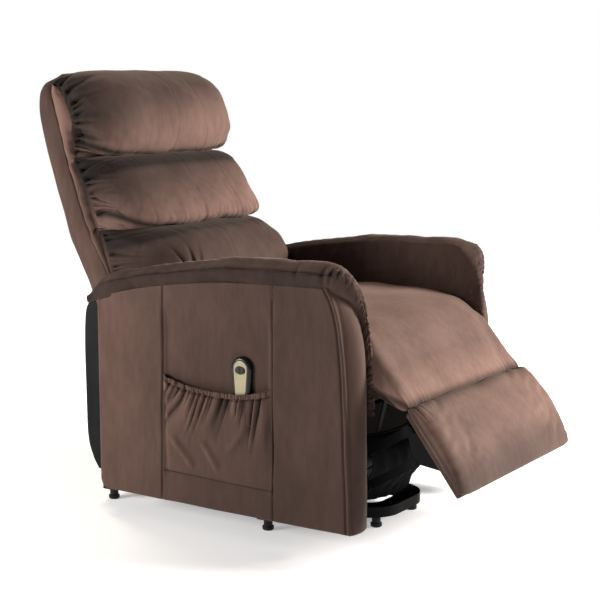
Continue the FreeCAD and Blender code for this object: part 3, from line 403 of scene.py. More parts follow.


# back pillows: a front line at the end seams and a fuller one in the middle, as depth and height. full is how
# squarely the lower and upper ends swell; low, high and crease_shadows are shares of the way up the front, the
# last where painted shade darkens the creases; weights say how strong the short folds are across the chair;
# nap_and_painted_light is the painted light and shade: where its light part ends, that end's tilt, dull, bright;
# and near is how much painted shade darkens the near end
pillow_rows = {
    "head": {
        "seam": [(0.834, 0.838), (0.827, 0.858), (0.822, 0.890), (0.821, 0.925), (0.827, 0.960), (0.842, 0.990),
                 (0.864, 1.014), (0.890, 1.026)],
        "crown": [(0.820, 0.842), (0.765, 0.844), (0.727, 0.858), (0.708, 0.894), (0.708, 0.938), (0.725, 0.986),
                  (0.759, 1.026), (0.805, 1.050), (0.850, 1.057), (0.888, 1.046)],
        "back": [(0.897, 1.024), (0.868, 0.960), (0.848, 0.900), (0.838, 0.850)],
        "half": 0.274, "full": (6.0, 6.0), "pitch": 0.041, "slant": 0.12,
        "low": 0.21, "high": 0.97, "crease_shadows": (0.205, 1.3),
        "low_weight": [(-0.28, 0.6), (-0.2, 0.35), (-0.1, 0.08), (0, 0.12), (0.1, 0.3), (0.2, 0.8), (0.28, 1.0)],
        "high_weight": [(-0.28, 0), (0, 0), (0.28, 0)],
        "nap_and_painted_light": (0.47, 0.55, 0.57, 1.60), "near": 0.55,
    },
    "middle": {
        "seam": [(0.766, 0.660), (0.752, 0.670), (0.753, 0.694), (0.768, 0.731), (0.785, 0.770), (0.803, 0.804),
                 (0.818, 0.830), (0.832, 0.845)],
        "crown": [(0.745, 0.672), (0.670, 0.674), (0.622, 0.682), (0.602, 0.698), (0.611, 0.724), (0.640, 0.767),
                  (0.672, 0.810), (0.702, 0.838), (0.748, 0.851), (0.815, 0.848)],
        "back": [(0.830, 0.832), (0.802, 0.760), (0.775, 0.685)],
        "half": 0.274, "full": (6.0, 6.0), "pitch": 0.052, "slant": 0.4,
        "low": 0.34, "high": 0.74, "crease_shadows": (0.285, 0.715),
        "low_weight": [(-0.28, 0.5), (-0.2, 0.35), (-0.12, 0.5), (0, 0.7), (0.1, 0.9), (0.2, 0.8), (0.28, 0.7)],
        "high_weight": [(-0.28, 0.5), (-0.2, 0.2), (0, 0.05), (0.2, 0.2), (0.28, 0.5)],
        "nap_and_painted_light": (0.52, 0.45, 0.56, 1.85), "near": 0.10,
    },
    "lumbar": {
        "seam": [(0.704, 0.506), (0.694, 0.520), (0.700, 0.548), (0.712, 0.582), (0.722, 0.615), (0.732, 0.645),
                 (0.745, 0.669), (0.766, 0.686)],
        "crown": [(0.650, 0.496), (0.575, 0.512), (0.520, 0.542), (0.503, 0.580), (0.511, 0.616), (0.534, 0.650),
                  (0.572, 0.675), (0.650, 0.684), (0.735, 0.676)],
        "back": [(0.760, 0.658), (0.735, 0.590), (0.714, 0.522)],
        "half": 0.272, "full": (6.0, 4.0), "pitch": 0.056, "slant": 0.2,
        "low": 0.30, "high": 0.66, "crease_shadows": (-0.4, 0.665),
        "low_weight": [(-0.28, 0.2), (0, 0.1), (0.28, 0.2)],
        "high_weight": [(-0.28, 0.5), (-0.15, 0.15), (0, 0.1), (0.1, 0.15), (0.28, 0.4)],
        "nap_and_painted_light": (0.40, 0.15, 0.66, 1.05), "near": 0.0,
    },
}


def fuller(x, half, power, root):
    """Swelling from 0 at the ends to 1 in the middle: (1 - |x / half| ** power) ** root."""
    return np.maximum(0, 1 - np.abs(x / half) ** power) ** root


def end_places(half, inner, count):
    """Places across the chair, closer together near the two ends."""
    t = np.linspace(-1, 1, count)
    return half * np.sign(t) * (1 - (1 - np.abs(t)) ** inner)


def along_rows(grid):
    """Distance over the surface from the first row."""
    return np.cumsum(np.linalg.norm(np.diff(grid, axis=0, prepend=grid[:1]), axis=2), 0)


def from_ends(grid):
    """Distance over the surface from the nearer of the first and last rows."""
    way = along_rows(grid)
    return np.minimum(way, way[-1:] - way)


def along_ring(grid):
    """Distance over the surface from the first column."""
    return np.cumsum(np.linalg.norm(np.diff(grid, axis=1, prepend=grid[:, :1]), axis=2), 1)


def raised(grid, lift):
    """The grid moved by lift along its normals, turned to point away from the middle of the piece."""
    n = normals(grid, True)
    outward = ((grid - grid.reshape(-1, 3).mean(0)) * n).sum() > 0
    return grid + n * lift[..., None] * (1 if outward else -1)


def pillow(row, seed):
    """Rings carried across the chair. A ring's front swells from the end seam's line to the crown's line and its
    back stays on the back line. Gathers run in from the end seams, and short folds stand across the creases.
    Painted light and shade make the colour darker towards the top and the near end, and darkest down in the
    gathers, the short folds and the creases."""
    front, rear = 172, 26
    gather_depth, gather_reach = 0.021, 0.042
    fold_depth, fold_pitch, fold_reach = 0.0075, 0.030, 0.024
    lump_depth, crumple_depth, near_reach = 0.0024, 0.0005, 0.075
    seam = curve(row["seam"], front)
    crown = curve(row["crown"], front)
    back = curve([row["seam"][-1]] + row["back"] + [row["seam"][0]], rear + 2)[1:-1]
    half = row["half"]
    x = end_places(half, 1.7, 241)
    upper = ease((np.linspace(0, 1, front) - 0.40) / 0.25)
    full = np.stack([fuller(x, half, power, 0.5) for power in row["full"]], 1) @ np.stack([1 - upper, upper])
    face = seam[None] + full[..., None] * (crown - seam)[None]
    ring = np.concatenate([face, np.broadcast_to(back, (len(x), rear, 2))], 1)
    grid = with_x(x[:, None], ring)
    way, end = along_ring(grid), from_ends(grid)
    span = way[:, front - 1:front]
    across = grid[..., 0]
    share = way / span
    fold = lobes(share * span.max() + row["slant"] * end * wave(share * 3, seed), row["pitch"], seed, 0.6) - 1
    reach = gather_reach * np.clip(1 + 0.5 * wave(share * 4.3, seed + 3), 0.5, 1.8)
    gather = fold * bump(end, reach, 1.6) * np.where(across < 0, 1.0, 0.75)
    lift = gather_depth * gather
    short = 0 * lift
    for edge, weight, tone in (("low", "low_weight", 5), ("high", "high_weight", 9)):
        gap = np.abs(way - row[edge] * span)
        fold = lobes(across + 0.35 * gap * wave(across * 6, seed + tone), fold_pitch, seed + tone, 0.5) - 1
        length = fold_reach * np.clip(1 + 0.7 * wave(across * 9, seed + tone + 2), 0.3, 2.2)
        short = short + fold * through(row[weight], across) * bump(gap, length, 1.3)
    lift += fold_depth * short
    calm = 1 - 0.8 * ease((share - 0.62) / 0.15)
    lumps = lump_depth * cloud(across, way, seed + 20, 0.13)
    lift += calm * (lumps + crumple_depth * cloud(across, way, seed + 21, 0.045))
    # painted light and shade: a lit band low on the front, reaching higher towards the far end, and painted shade
    # at the near end, in the gathers and folds and along the creases
    centre, tilt, dull, bright = row["nap_and_painted_light"]
    light = ease((centre + tilt * across - share) / 0.36 + 0.5)
    shade = dull + (bright - dull) * light
    shade *= 1 - row["near"] * np.where(across < 0, bump(end, near_reach), 0)
    shade *= np.clip(1.06 + 0.95 * gather, 0.16, 1.06) * np.clip(1 + 0.45 * short, 0.4, 1)
    low, high = row["crease_shadows"]
    shade *= 1 - 0.9 * bump((share - low) * span, 0.010)
    shade *= 1 - 0.75 * bump(np.maximum(0, high - share) * span, 0.013)
    return grid, lift, shade, end, front


# faint upright lines on every pillow, as place and lean, and tucks at the lumbar pillow's near end, as place,
# lean, depth and width; each is pressed in and darkened with painted shade
pillow_lines = ((-0.03, 0.10), (0.11, -0.06))
lumbar_tucks = ((-0.196, 0.10, 0.0060, 0.0042), (-0.214, -0.25, 0.0045, 0.0040), (-0.176, 0.30, 0.0030, 0.0050))
for order, (name, row) in enumerate(pillow_rows.items()):
    grid, lift, shade, end, front = pillow(row, 11 + 30 * order)
    across, height = grid[..., 0], grid[..., 2]
    if name == "lumbar":
        lower = ease((0.655 - height) / 0.05)
        for place, lean, depth, width in lumbar_tucks:
            line = bump(across - place - lean * (height - 0.6), width)
            lift -= lower * depth * line
            shade = shade * (1 - 0.6 * lower * line)
    for place, lean in pillow_lines:
        line = bump(across - place - lean * (height - 0.75), 0.0028)
        lift -= 0.0014 * line
        shade = shade * (1 - 0.16 * line)
    lift[:, front:] = 0
    lift *= ease(end / 0.005)
    piece = lay(name + "_pillow_cover", raised(grid, lift), brown, closed=True, poles=True, shade=shade)
    dress(piece, "backrest", name + "_pillow", fill=0.75)

# back shell and the boxed sides between it and the pillows
back_rear = [(0.772, 0.478), (0.796, 0.527), (0.830, 0.608), (0.867, 0.705), (0.905, 0.820), (0.931, 0.917),
             (0.939, 0.960), (0.934, 0.998), (0.919, 1.024), (0.896, 1.040)]
back_seam = [(0.700, 0.512), (0.726, 0.562), (0.763, 0.638), (0.801, 0.721), (0.845, 0.846), (0.868, 0.925),
             (0.880, 0.962), (0.888, 0.990), (0.890, 1.008), (0.884, 1.022)]
back_gather = [(0.700, 0.512), (0.712, 0.575), (0.724, 0.610), (0.746, 0.667), (0.781, 0.744), (0.806, 0.798),
               (0.824, 0.846), (0.822, 0.890), (0.821, 0.925), (0.827, 0.960), (0.846, 0.990), (0.872, 1.014)]


def back_shell():
    """A U-shaped wall: across the near side, round the rear corner, over the rear face and back along the far
    side. Each row is a place on the U and each column a height along the seam and the rear edge."""
    high = 70
    round_off, bulge, side_share = 0.020, 0.004, 0.72
    seam = curve(back_seam, high)
    rear = curve(back_rear, high)
    half = np.interp(seam[:, 1], [0.50, 0.57, 0.66, 0.975, 1.000, 1.012, 1.022],
                     [0.268, 0.270, 0.281, 0.281, 0.277, 0.271, 0.258])
    side = np.linspace(0, 1, 12)[:-1, None]
    corner = np.linspace(0, pi / 2, 9)[:, None]
    across = np.linspace(-1, 1, 33)[1:-1, None]
    near_x = np.vstack([half + bulge * np.sin(pi * side), half - round_off * (1 - np.cos(corner))])
    near_share = np.vstack([side_share * side, side_share + (1 - side_share) * np.sin(corner)])
    x = np.vstack([near_x, -across * (half - round_off), -near_x[::-1]])
    share = np.vstack([near_share, 1 + 0.05 * (1 - across**2), near_share[::-1]])
    yz = seam[None] + share[..., None] * (rear - seam)[None]
    grid = with_x(x, yz)
    tuck = np.array(grid[[0, -1]])
    tuck[..., 0] *= 0.95
    grid = np.concatenate([tuck[:1], grid, tuck[1:]])
    lid = grid[:, -1:] * (0.93, 1, 1) + (0, 0, 0.006)
    end = lid * (0.97, 0, 1) + (0, 0.850, 0.004)
    return np.concatenate([grid, lid, end], 1)


def soften(grid, seed, depth, size):
    """Adds faint lumps along the normals."""
    lumps = depth * cloud(along_rows(grid), along_ring(grid), seed, size)
    return grid + normals(grid) * lumps[..., None]


shell_grid = back_shell()
# painted shade: the shell's colour darker towards its top
shell = lay("back_shell_cover", soften(shell_grid, 71, 0.0016, 0.12), brown_side,
            shade=np.interp(shell_grid[..., 2], [0.5, 0.8, 0.95], [1.0, 0.85, 0.68]))
dress(shell, "backrest", "back_outer_panel", fill=0.5)


def back_side():
    """A soft strip from the shell's seam, bulging out, to the pillows' gathered seam."""
    high = 110
    seam = curve(back_seam, high)
    gather = curve(back_gather, high)
    t = np.linspace(-0.15, 1.12, 17)[:, None]
    out = np.interp(seam[:, 1], [0.50, 0.57, 0.66], [0.266, 0.270, 0.279])[None]
    x = out + 0.007 * np.sin(pi * np.clip(t, 0, 1)) - 0.016 * np.clip(t, 0, 2) ** 2.2 - 0.05 * np.clip(-t, 0, 1)
    yz = seam[None] + t[..., None] * (gather - seam)[None]
    folds = (lobes(length_along(gather), 0.026, 11) - 1)[None] * ease((t - 0.30) / 0.70) * 0.0055
    # painted light and shade: lighter towards the head, darker in the folds, along the shell's seam and at the
    # pillows' gathered seam
    shade = np.interp(yz[..., 1], [0.55, 0.70, 0.85, 0.95], [0.85, 1.15, 1.85, 2.0]) * (1 + 130 * folds)
    shade = shade * (1 - 0.6 * bump(t, 0.05)) * (1 - 0.7 * ease((t - 0.97) / 0.10))
    return with_x(x + folds, yz), np.clip(shade, 0.2, 2.2)


for side, name in ((-1, "left"), (1, "right")):
    grid, shade = back_side()
    grid = soften(grid, 75 + side, 0.0012, 0.06)
    strip = lay("back_side_" + name, grid, brown_side, side=side, flip=True, shade=shade)
    dress(strip, "backrest", "back_side_pads", fill=0.5)

# arms: outer panel with its front band, and the cover that runs over the top, round the front and down
panel_front = [(0.050, -0.001), (0.282, 0.009), (0.399, 0.014), (0.502, 0.026), (0.560, 0.042), (0.592, 0.060)]
panel_top = [(0.0, 0.590), (0.070, 0.590), (0.308, 0.585), (0.452, 0.572), (0.560, 0.557), (0.640, 0.541),
             (0.704, 0.523), (0.720, 0.519)]
seam_depths = (0.2005, 0.516)
seam_leans = (0.0, 0.018)
panel_low, panel_rear, panel_fore = 0.055, 0.71, 0.03
panel_half, panel_inner = 0.335, 0.268
pocket_recess = 0.0085


def between_seams(y):
    """1 between the outer panel's two seams and 0 beyond them."""
    return ease((y - seam_depths[0]) / 0.02) * ease((seam_depths[1] - y) / 0.02)


def arm_panel(pocketed):
    """A wall carried round from the rear edge over the outer face and the front corner to the front band.
    Rows go along that path and columns go up. Seams are narrow grooves with a swelling at each side."""
    rear_round, front_round, foot_round, hem = 0.010, 0.005, 0.026, 0.005
    rear_edge, seam_run = 0.712, 0.69
    z_share = np.concatenate([[0, 0, 0.004, 0.010, 0.018], np.linspace(0.028, 1, 96)])
    at_seams = [(panel_rear - d) / seam_run + np.linspace(-0.022, 0.022, 15) for d in seam_depths]
    flat = np.unique(np.concatenate([np.linspace(0, 1, 110), np.linspace(0.95, 1, 20)] + at_seams))
    flat = flat[(flat >= 0) & (flat <= 1)]
    rear_turn = np.linspace(pi / 2, 0, 7)[:-1]
    front_turn = np.linspace(0, pi / 2, 8)[1:]
    band = np.linspace(0, 1, 26)[1:]
    counts = 3, len(rear_turn), len(flat), len(front_turn), len(band), 2

    def path(*stretches):
        """Values along the path: rear edge, rear corner, outer face, front corner, band and the band's tuck."""
        return np.concatenate([np.broadcast_to(v, count) for v, count in zip(stretches, counts)])

    rear_x, front_x = panel_half - rear_round, panel_half - front_round
    x = path(np.linspace(0.294, rear_x, 4)[:-1], rear_x + rear_round * np.cos(rear_turn), panel_half,
             front_x + front_round * np.cos(front_turn), front_x - band * (front_x - panel_inner),
             (panel_inner - 0.001, panel_inner))
    share = path(0, 0, flat, 1, 1, 1)
    off = path(0, -rear_round + rear_round * np.sin(rear_turn), -rear_round * (1 - flat) + front_round * flat,
               front_round - front_round * np.sin(front_turn), 0, (0.004, 0.05))
    swell = path(0, 0, 0, 0, ease(band * 1.1) * 0.7 + 0.3 * np.sin(pi * band), 1)
    roll = path(0, 0, 0, 0, np.sin(pi * band**0.72) ** 0.9, 0)
    nx = path(0, np.cos(rear_turn), 1, np.cos(front_turn), 0, -1)
    ny = path(1, np.sin(rear_turn), 0, -np.sin(front_turn), -1, 0)
    y_flat = panel_rear + share * (panel_fore - panel_rear)
    band_top = np.interp(x, [0.268, 0.285, 0.305, 0.335], [0.548, 0.570, 0.586, 0.592])
    top = np.where(share > 0.999, band_top, through(panel_top, y_flat))
    z = panel_low + z_share[None] * (top - panel_low)[:, None]
    foot = np.clip((panel_low + foot_round - z) / foot_round, 0, 1)
    rear = rear_edge - foot_round * (1 - np.sqrt(1 - foot**2))
    y = rear * (1 - share[:, None]) + through(panel_front, z) * share[:, None] + off[:, None]
    y = y - swell[:, None] * np.interp(z, [0.05, 0.15, 0.35, 0.48, 0.56, 0.60],
                                       [0.001, 0.006, 0.011, 0.014, 0.010, 0.002])
    y = y - roll[:, None] * np.interp(z, [0.05, 0.12, 0.45, 0.56, 0.60], [0.006, 0.015, 0.018, 0.011, 0.001])
    up = z - panel_low
    inset = hem - np.sqrt(np.maximum(0, hem**2 - np.clip(hem - up, 0, hem) ** 2))
    inset[:, 0] = 0.028
    face = (nx > 0.98)[:, None] * np.ones_like(z)
    lift = 0.0014 * cloud(y, z, 31 + pocketed, 0.17) * face + 0.003 * np.sin(pi * share[:, None]) * face
    # painted light and shade: lighter towards the rear edge, with painted shade in the seam grooves and the
    # piping's groove
    shade = np.interp(y, [0.03, 0.30, 0.52, 0.60, 0.71], [0.66, 0.68, 0.86, 1.06, 1.14])
    for d, lean in zip(seam_depths, seam_leans):
        away = y - d + lean * up
        groove = face * bump(away, 0.0024)
        lift += 0.0016 * face * bump(away, 0.018) - 0.0036 * groove
        shade *= 1 - 0.5 * groove
    if pocketed:
        lift -= face * between_seams(y) * pocket_recess * ease((0.56 - z) / 0.10) * ease((z - 0.10) / 0.04)
    pipe = np.cumsum(np.hypot(np.diff(x, prepend=x[:1]), np.diff(off + y_flat, prepend=y_flat[:1])))
    pipe = (pipe - pipe[sum(counts[:3])])[:, None]
    groove = bump(pipe + 0.008, 0.0030)
    lift += 0.0022 * bump(pipe, 0.0035) - 0.0030 * groove
    shade *= 1 - 0.6 * groove
    # painted light and shade on the front band: darker low down, lighter towards its top
    shade = np.where(pipe > 0.002, np.interp(z, [0.05, 0.30, 0.45, 0.58], [0.55, 0.68, 0.85, 0.90]), shade)
    move = lift - inset
    return np.stack([x[:, None] + move * nx[:, None], y + move * ny[:, None], z + 0 * y], 2), shade


# arm cover guides, each from the rear over the top and down the front: outer edge, band, seam, crest, inner side
arm_stops = (0.738, 0.733, 0.704, 0.603, 0.452, 0.308, 0.171, 0.066)
arm_low = [(0.0, 0.588), (0.066, 0.587), (0.171, 0.585), (0.308, 0.581), (0.452, 0.568), (0.603, 0.546),
           (0.704, 0.519), (0.745, 0.508)]
arm_crest = [(0.0, 0.640), (0.066, 0.640), (0.121, 0.641), (0.229, 0.642), (0.369, 0.633), (0.546, 0.605),
             (0.671, 0.582), (0.736, 0.556), (0.745, 0.545)]
arm_wall = 0.2645
arm_inner = [(0.0, arm_wall), (0.45, arm_wall), (0.54, 0.270), (0.62, 0.2775), (0.745, 0.2845)]
arm_fronts = [
    [(0.324, 0.052, 0.577), (0.298, 0.037, 0.556), (0.277, 0.026, 0.520), (0.275, 0.016, 0.460),
     (0.274, 0.010, 0.400), (0.272, 0.008, 0.345), (0.270, 0.006, 0.312)],
    [(0.3285, 0.040, 0.590), (0.308, 0.020, 0.572), (0.284, 0.008, 0.530), (0.279, -0.001, 0.466),
     (0.276, -0.006, 0.402), (0.273, -0.008, 0.346), (0.270, -0.007, 0.312)],
    [(0.326, 0.031, 0.612), (0.307, 0.011, 0.594), (0.286, 0.001, 0.545), (0.279, -0.007, 0.476),
     (0.276, -0.010, 0.406), (0.273, -0.012, 0.347), (0.270, -0.010, 0.312)],
    [(0.322, 0.032, 0.626), (0.305, 0.013, 0.604), (0.285, 0.001, 0.556), (0.278, -0.008, 0.482),
     (0.275, -0.012, 0.410), (0.272, -0.014, 0.348), (0.2695, -0.012, 0.312)],
    [(0.299, 0.034, 0.631), (0.290, 0.013, 0.603), (0.279, -0.002, 0.556), (0.2735, -0.011, 0.486),
     (0.271, -0.015, 0.413), (0.2695, -0.018, 0.349), (0.268, -0.015, 0.312)],
    [(0.272, 0.040, 0.616), (0.2695, 0.021, 0.589), (0.267, 0.004, 0.550), (0.266, -0.006, 0.486),
     (0.2655, -0.010, 0.413), (0.2655, -0.012, 0.349), (0.2655, -0.011, 0.312)],
]
arm_fronts += [[(arm_wall, *place) for place in guide] for guide in (
    [(0.058, 0.590), (0.044, 0.570), (0.026, 0.540), (0.012, 0.480), (0.006, 0.410), (0.003, 0.348),
     (0.003, 0.312)],
    [(0.120, 0.500), (0.110, 0.490), (0.110, 0.470), (0.110, 0.440), (0.105, 0.395), (0.100, 0.345),
     (0.100, 0.312)],
)]


def arm_top(y):
    """The guides' places on a section across the arm at depth y."""
    low, crest, inner = through(arm_low, y), through(arm_crest, y), through(arm_inner, y)
    shut = 0.50 + 0.50 * float(ease((0.738 - y) / 0.026))
    tall = (crest - low) * shut
    places = [(0.3340, low - 0.004), (0.3370, low + tall * 0.32), (0.3362, low + tall * 0.54),
              (0.3330, low + tall * 0.66), (0.302, low + tall), (inner + 0.006, low + tall * 0.84),
              (inner, low + tall * 0.40), (inner, 0.44)]
    return [(x, y, z) for x, z in places]


def arm_cover():
    """A surface through eight guide lines that run over the arm, round its front and down to a narrow tip. The
    seam between the side band and the top, guide 3, is a groove that turns into a ruffle round the front."""
    rows, cols = 330, 96
    darts = ((0.012, 1.0, 0.0045), (0.032, 0.6, 0.0045), (-0.055, 0.5, 0.004))
    tops = np.array([arm_top(y) for y in arm_stops])
    guides = np.concatenate([tops.transpose(1, 0, 2), np.array(arm_fronts)], 1)
    base = length_along(guides[3])
    lines = []
    for line in guides:
        fine = curve(line, 1500)
        step = length_along(fine)
        knots = np.array([step[np.argmin(np.linalg.norm(fine - p, axis=1))] for p in line])
        at = np.interp(np.linspace(0, base[-1], rows), base, knots)
        lines.append(np.stack([np.interp(at, step, fine[:, k]) for k in range(3)], 1))
    lines = np.array(lines)
    grid = np.array([curve(lines[:, r], cols) for r in range(rows)])
    along = length_along(lines[3])[:, None]
    over = along_ring(grid)
    gap = np.array([np.linalg.norm(grid[r] - lines[3, r], axis=1) for r in range(rows)])
    above = over > over[np.arange(rows), gap.argmin(1)][:, None]
    turn = along[np.argmin(np.abs(lines[3, :, 1] - 0.085))]
    frontal = ease((along - turn) / 0.035)
    lift = (1 - 0.6 * frontal) * (0.0014 * bump(gap - 0.008, 0.007) - 0.0034 * bump(gap, 0.0026))
    ruffle = lobes(along + 0.2 * gap, 0.0135, 51, 0.6) - 0.7
    near_seam = bump(gap, 0.020, 1.5)
    lift = lift + frontal * ruffle * (0.0090 * near_seam * np.where(above, 1.0, 0.8))
    # painted light and shade: lighter above the seam and darker below it, with painted shade in the seam's
    # groove, in the ruffle's hollows round the front and in the darts
    shade = np.where(above, 1.1, 0.58 + 0.32 * frontal) * (1 - 0.65 * (1 - 0.5 * frontal) * bump(gap, 0.0030))
    shade = shade * (1 - frontal * near_seam * np.clip(0.75 - 1.1 * (ruffle + 0.7), 0, 0.75))
    dart = sum(strength * bump(along - turn - place, width) for place, strength, width in darts)
    dart = dart * bump(gap, 0.020)
    way = along + 0 * over
    lift = lift - 0.0055 * dart + 0.0018 * cloud(way, over, 55, 0.12) + 0.0006 * cloud(way, over, 56, 0.04)
    lift = lift * ease(over / 0.004) * ease((over[:, -1:] - over) / 0.05)
    shade = shade * (1 - 0.5 * dart)
    n = normals(grid)
    return grid + n * lift[..., None] * np.sign(n[rows // 3, cols // 2, 2]), shade


for side, name in ((-1, "left"), (1, "right")):
    grid, shade = arm_panel(side < 0)
    panel = lay("arm_panel_cover_" + name, grid, brown_side, side=side, flip=True, shade=shade)
    dress(panel, "chair", "arm_panel_" + name, fill=0.4)
    grid, shade = arm_cover()
    cover = lay("arm_cover_" + name, grid, brown_arm_shaded, side=side, shade=shade)
    dress(cover, "chair", "arm_pad_" + name, "arm_inner_panels", fill=0.7)

# seat cushion with its front roll
seat_line = [(0.590, 0.430), (0.588, 0.485), (0.560, 0.508), (0.480, 0.515), (0.346, 0.519), (0.222, 0.521),
             (0.107, 0.515), (0.040, 0.500), (-0.008, 0.468), (-0.052, 0.418), (-0.084, 0.376), (-0.104, 0.349),
             (-0.105, 0.338), (-0.088, 0.332), (-0.040, 0.345), (0.004, 0.372), (0.026, 0.410), (0.200, 0.414),
             (0.400, 0.414), (0.560, 0.416)]
seat_lip = (-0.104, 0.343)


def end_draw(x, half, radius):
    """0 up to that radius from the ends, then along a quarter circle to 1 at the ends, as a column."""
    d = np.clip((np.abs(x) - half + radius) / radius, 0, 1)[:, None]
    return 1 - np.sqrt(np.maximum(0, 1 - d * d))


def ring_out(line):
    """Unit directions out of a closed ring of points given as depth and height."""
    t = np.roll(line, -1, 0) - np.roll(line, 1, 0)
    n = np.stack([t[:, 1], -t[:, 0]], 1)
    n /= np.linalg.norm(n, axis=1, keepdims=True)
    return n if ((line - line.mean(0)) * n).sum() > 0 else -n


def shade_in_folds(lift):
    """Painted shade: how much darker the colour is made where the surface is pressed in."""
    return 1 + 60 * np.clip(lift, -0.01, 0)


def seat_cover():
    """The seat's ring carried across the chair, drawn in round its ends, a little fuller in the middle, and wider
    in front of the arms than between them, with small folds along its lower front edge and at its corners."""
    line = curve(seat_line, 280, closed=True)
    out = ring_out(line)
    x = end_places(1.0, 1.5, 181)
    lip = bump(np.hypot(line[:, 0] - seat_lip[0], line[:, 1] - seat_lip[1]), 0.05)
    inset = 0.09 * end_draw(x, 1.0, 0.09) * (0.22 - 0.21 * lip)
    crown = 0.006 * fuller(x, 1.0, 2.0, 1.0)[:, None] * ease((line[:, 1] - 0.42) / 0.05)
    yz = line[None] + out[None] * (crown - inset)[..., None]
    wide = 0.2620 + 0.0125 * ease((0.012 - yz[..., 0]) / 0.03)
    grid = with_x(x[:, None] * wide, yz)
    across, y, z = grid[..., 0], grid[..., 1], grid[..., 2]
    end = 0.273 - np.abs(across)
    low = np.hypot(y - seat_lip[0], z - seat_lip[1])
    fold = lobes(across + 0.3 * low * wave(across * 5, 81), 0.030, 83, 0.5) - 1
    corners = np.clip(0.12 + bump(end, 0.06) + 0.2 * wave(across * 5, 85), 0, 1.2)
    lift = 0.0065 * fold * bump(low, 0.026, 1.2) * corners
    fan = lobes(np.arctan2(z - 0.345, y + 0.16) * 0.13, 0.024, 87, 0.5) - 1
    lift += 0.0035 * fan * bump(end, 0.025) * bump(low, 0.10)
    slope = ease((0.12 - y) / 0.12)
    streak = cloud(across * 0.5 + 0.4 * (y - z), y - z, 90, 0.05)
    lift += 0.0020 * cloud(across, y - z, 88, 0.17) + 0.0017 * streak * slope * bump(end, 0.14)
    lift *= ease(end / 0.012)
    # painted light and shade: lighter over the top and lightest on the lower front edge, darker over the upper
    # roll, and darker along the lip's crease and in the folds
    shade = np.interp(-y, [-0.6, -0.10, 0.0, 0.05, 0.08, 0.10], [1.80, 1.70, 1.36, 1.32, 1.8, 2.2])
    shade = shade * (1 - 0.7 * bump(low, 0.012)) * shade_in_folds(lift)
    return lay("seat_cover", raised(grid, lift), brown, closed=True, poles=True, shade=shade)


dress(seat_cover(), "chair", "seat_cushion", fill=0.8)

# footrest cushion on its leaning board: along the board from its top edge, and out from it
board_top = np.array([-0.094, 0.326])
board_turn = math.radians(37.4)
board_along = np.array([-math.sin(board_turn), -math.cos(board_turn)])
board_out = np.array([-math.cos(board_turn), math.sin(board_turn)])
board_face = 0.0165
foot_half = 0.280
foot_line = [(0.000, 0.0175), (-0.003, 0.027), (0.006, 0.039), (0.038, 0.048), (0.097, 0.0525), (0.150, 0.049),
             (0.192, 0.041), (0.212, 0.030), (0.213, 0.019)]
foot_line += [(along, board_face) for along in (0.205, 0.150, 0.100, 0.050, 0.012)]


def foot_cover():
    """The cushion's ring in board measures, carried across with ends that come down onto the board, with rounded
    lower corners and with small folds at the top corners."""
    ring = curve(foot_line, 220, closed=True)
    down, out = ring[None, :, 0], ring[None, :, 1]
    x = end_places(foot_half, 1.6, 181)
    draw = end_draw(x, foot_half, 0.030)
    n = board_face + (out - board_face) * (1 - 0.55 * draw)
    corner = 0.011 * end_draw(x, foot_half, 0.045) * ease((down - 0.13) / 0.08)
    along = down + 0.001 * draw * np.clip((0.107 - down) / 0.1, 0, 1) - corner
    yz = board_top + along[..., None] * board_along + n[..., None] * board_out
    grid = with_x(x[:, None], yz)
    across = grid[..., 0]
    end = from_ends(grid)
    corners = np.clip(0.08 + bump(foot_half - np.abs(across), 0.06), 0, 1)
    top = (lobes(across, 0.028, 91, 0.5) - 1) * bump(np.abs(along), 0.030, 1.3) * corners
    side = (lobes(along, 0.034, 93) - 1) * bump(end, 0.030, 1.3)
    wrinkles = 0.0012 * cloud(across + 0.6 * along, along, 96, 0.05) * bump(end - 0.08, 0.06)
    lumps = 0.0016 * cloud(across, along, 95, 0.15)
    lift = 0.0050 * top + 0.0016 * side + (lumps + wrinkles) * ease((0.215 - along) / 0.03)
    lift *= ease((n - 0.018) / 0.006) * ease(end / 0.006)
    # painted light and shade: lighter over the middle of the face and towards the far end, darker at the top and
    # bottom edges and in the folds
    shade = np.interp(along, [0.0, 0.02, 0.12, 0.17, 0.20], [0.7, 1.35, 1.42, 0.85, 0.70])
    shade = shade * (1 + 0.25 * ease(across / 0.25)) * shade_in_folds(lift)
    return lay("footrest_cover", raised(grid, lift), brown, closed=True, poles=True, shade=shade)


dress(foot_cover(), "footrest", "footrest_cushion", fill=0.8)

# handset: a case with a round head on a tapering stem, a face plate let into it and an oval round its two buttons
case_low, case_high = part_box("handset_case")
button_low = np.minimum(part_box("button_up")[0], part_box("button_down")[0])
button_high = np.maximum(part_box("button_up")[1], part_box("button_down")[1])
handset_middle = (case_low[1] + case_high[1]) / 2 - front_line
handset_back, handset_out = -case_high[0], -case_low[0]


def handset_outline(inset, low, count=96):
    """A closed outline in depth and height: a half circle over a stem that narrows downwards, drawn in by
    inset."""
    head, toe = 0.0275, 0.0210
    turn = np.linspace(-0.2, pi + 0.2, 21)
    middle = case_high[2] - head
    arch = np.stack([(head - inset) * np.cos(turn), middle + (head - inset) * np.sin(turn)], 1)
    foot = toe - inset
    half_stem = np.array([(foot - 0.005, low), (foot - 0.001, low + 0.003), (foot, low + 0.010)])
    stem = np.vstack([half_stem[::-1] * (-1, 1), half_stem])
    line = curve(np.vstack([arch, stem]), count, closed=True)
    return line + (handset_middle, 0)


def carried_out(outline, steps):
    """Copies of an outline at each step: how far it is drawn in, and how far out it lies."""
    return np.array([np.insert(outline(inset), 0, out, axis=1) for inset, out in steps])


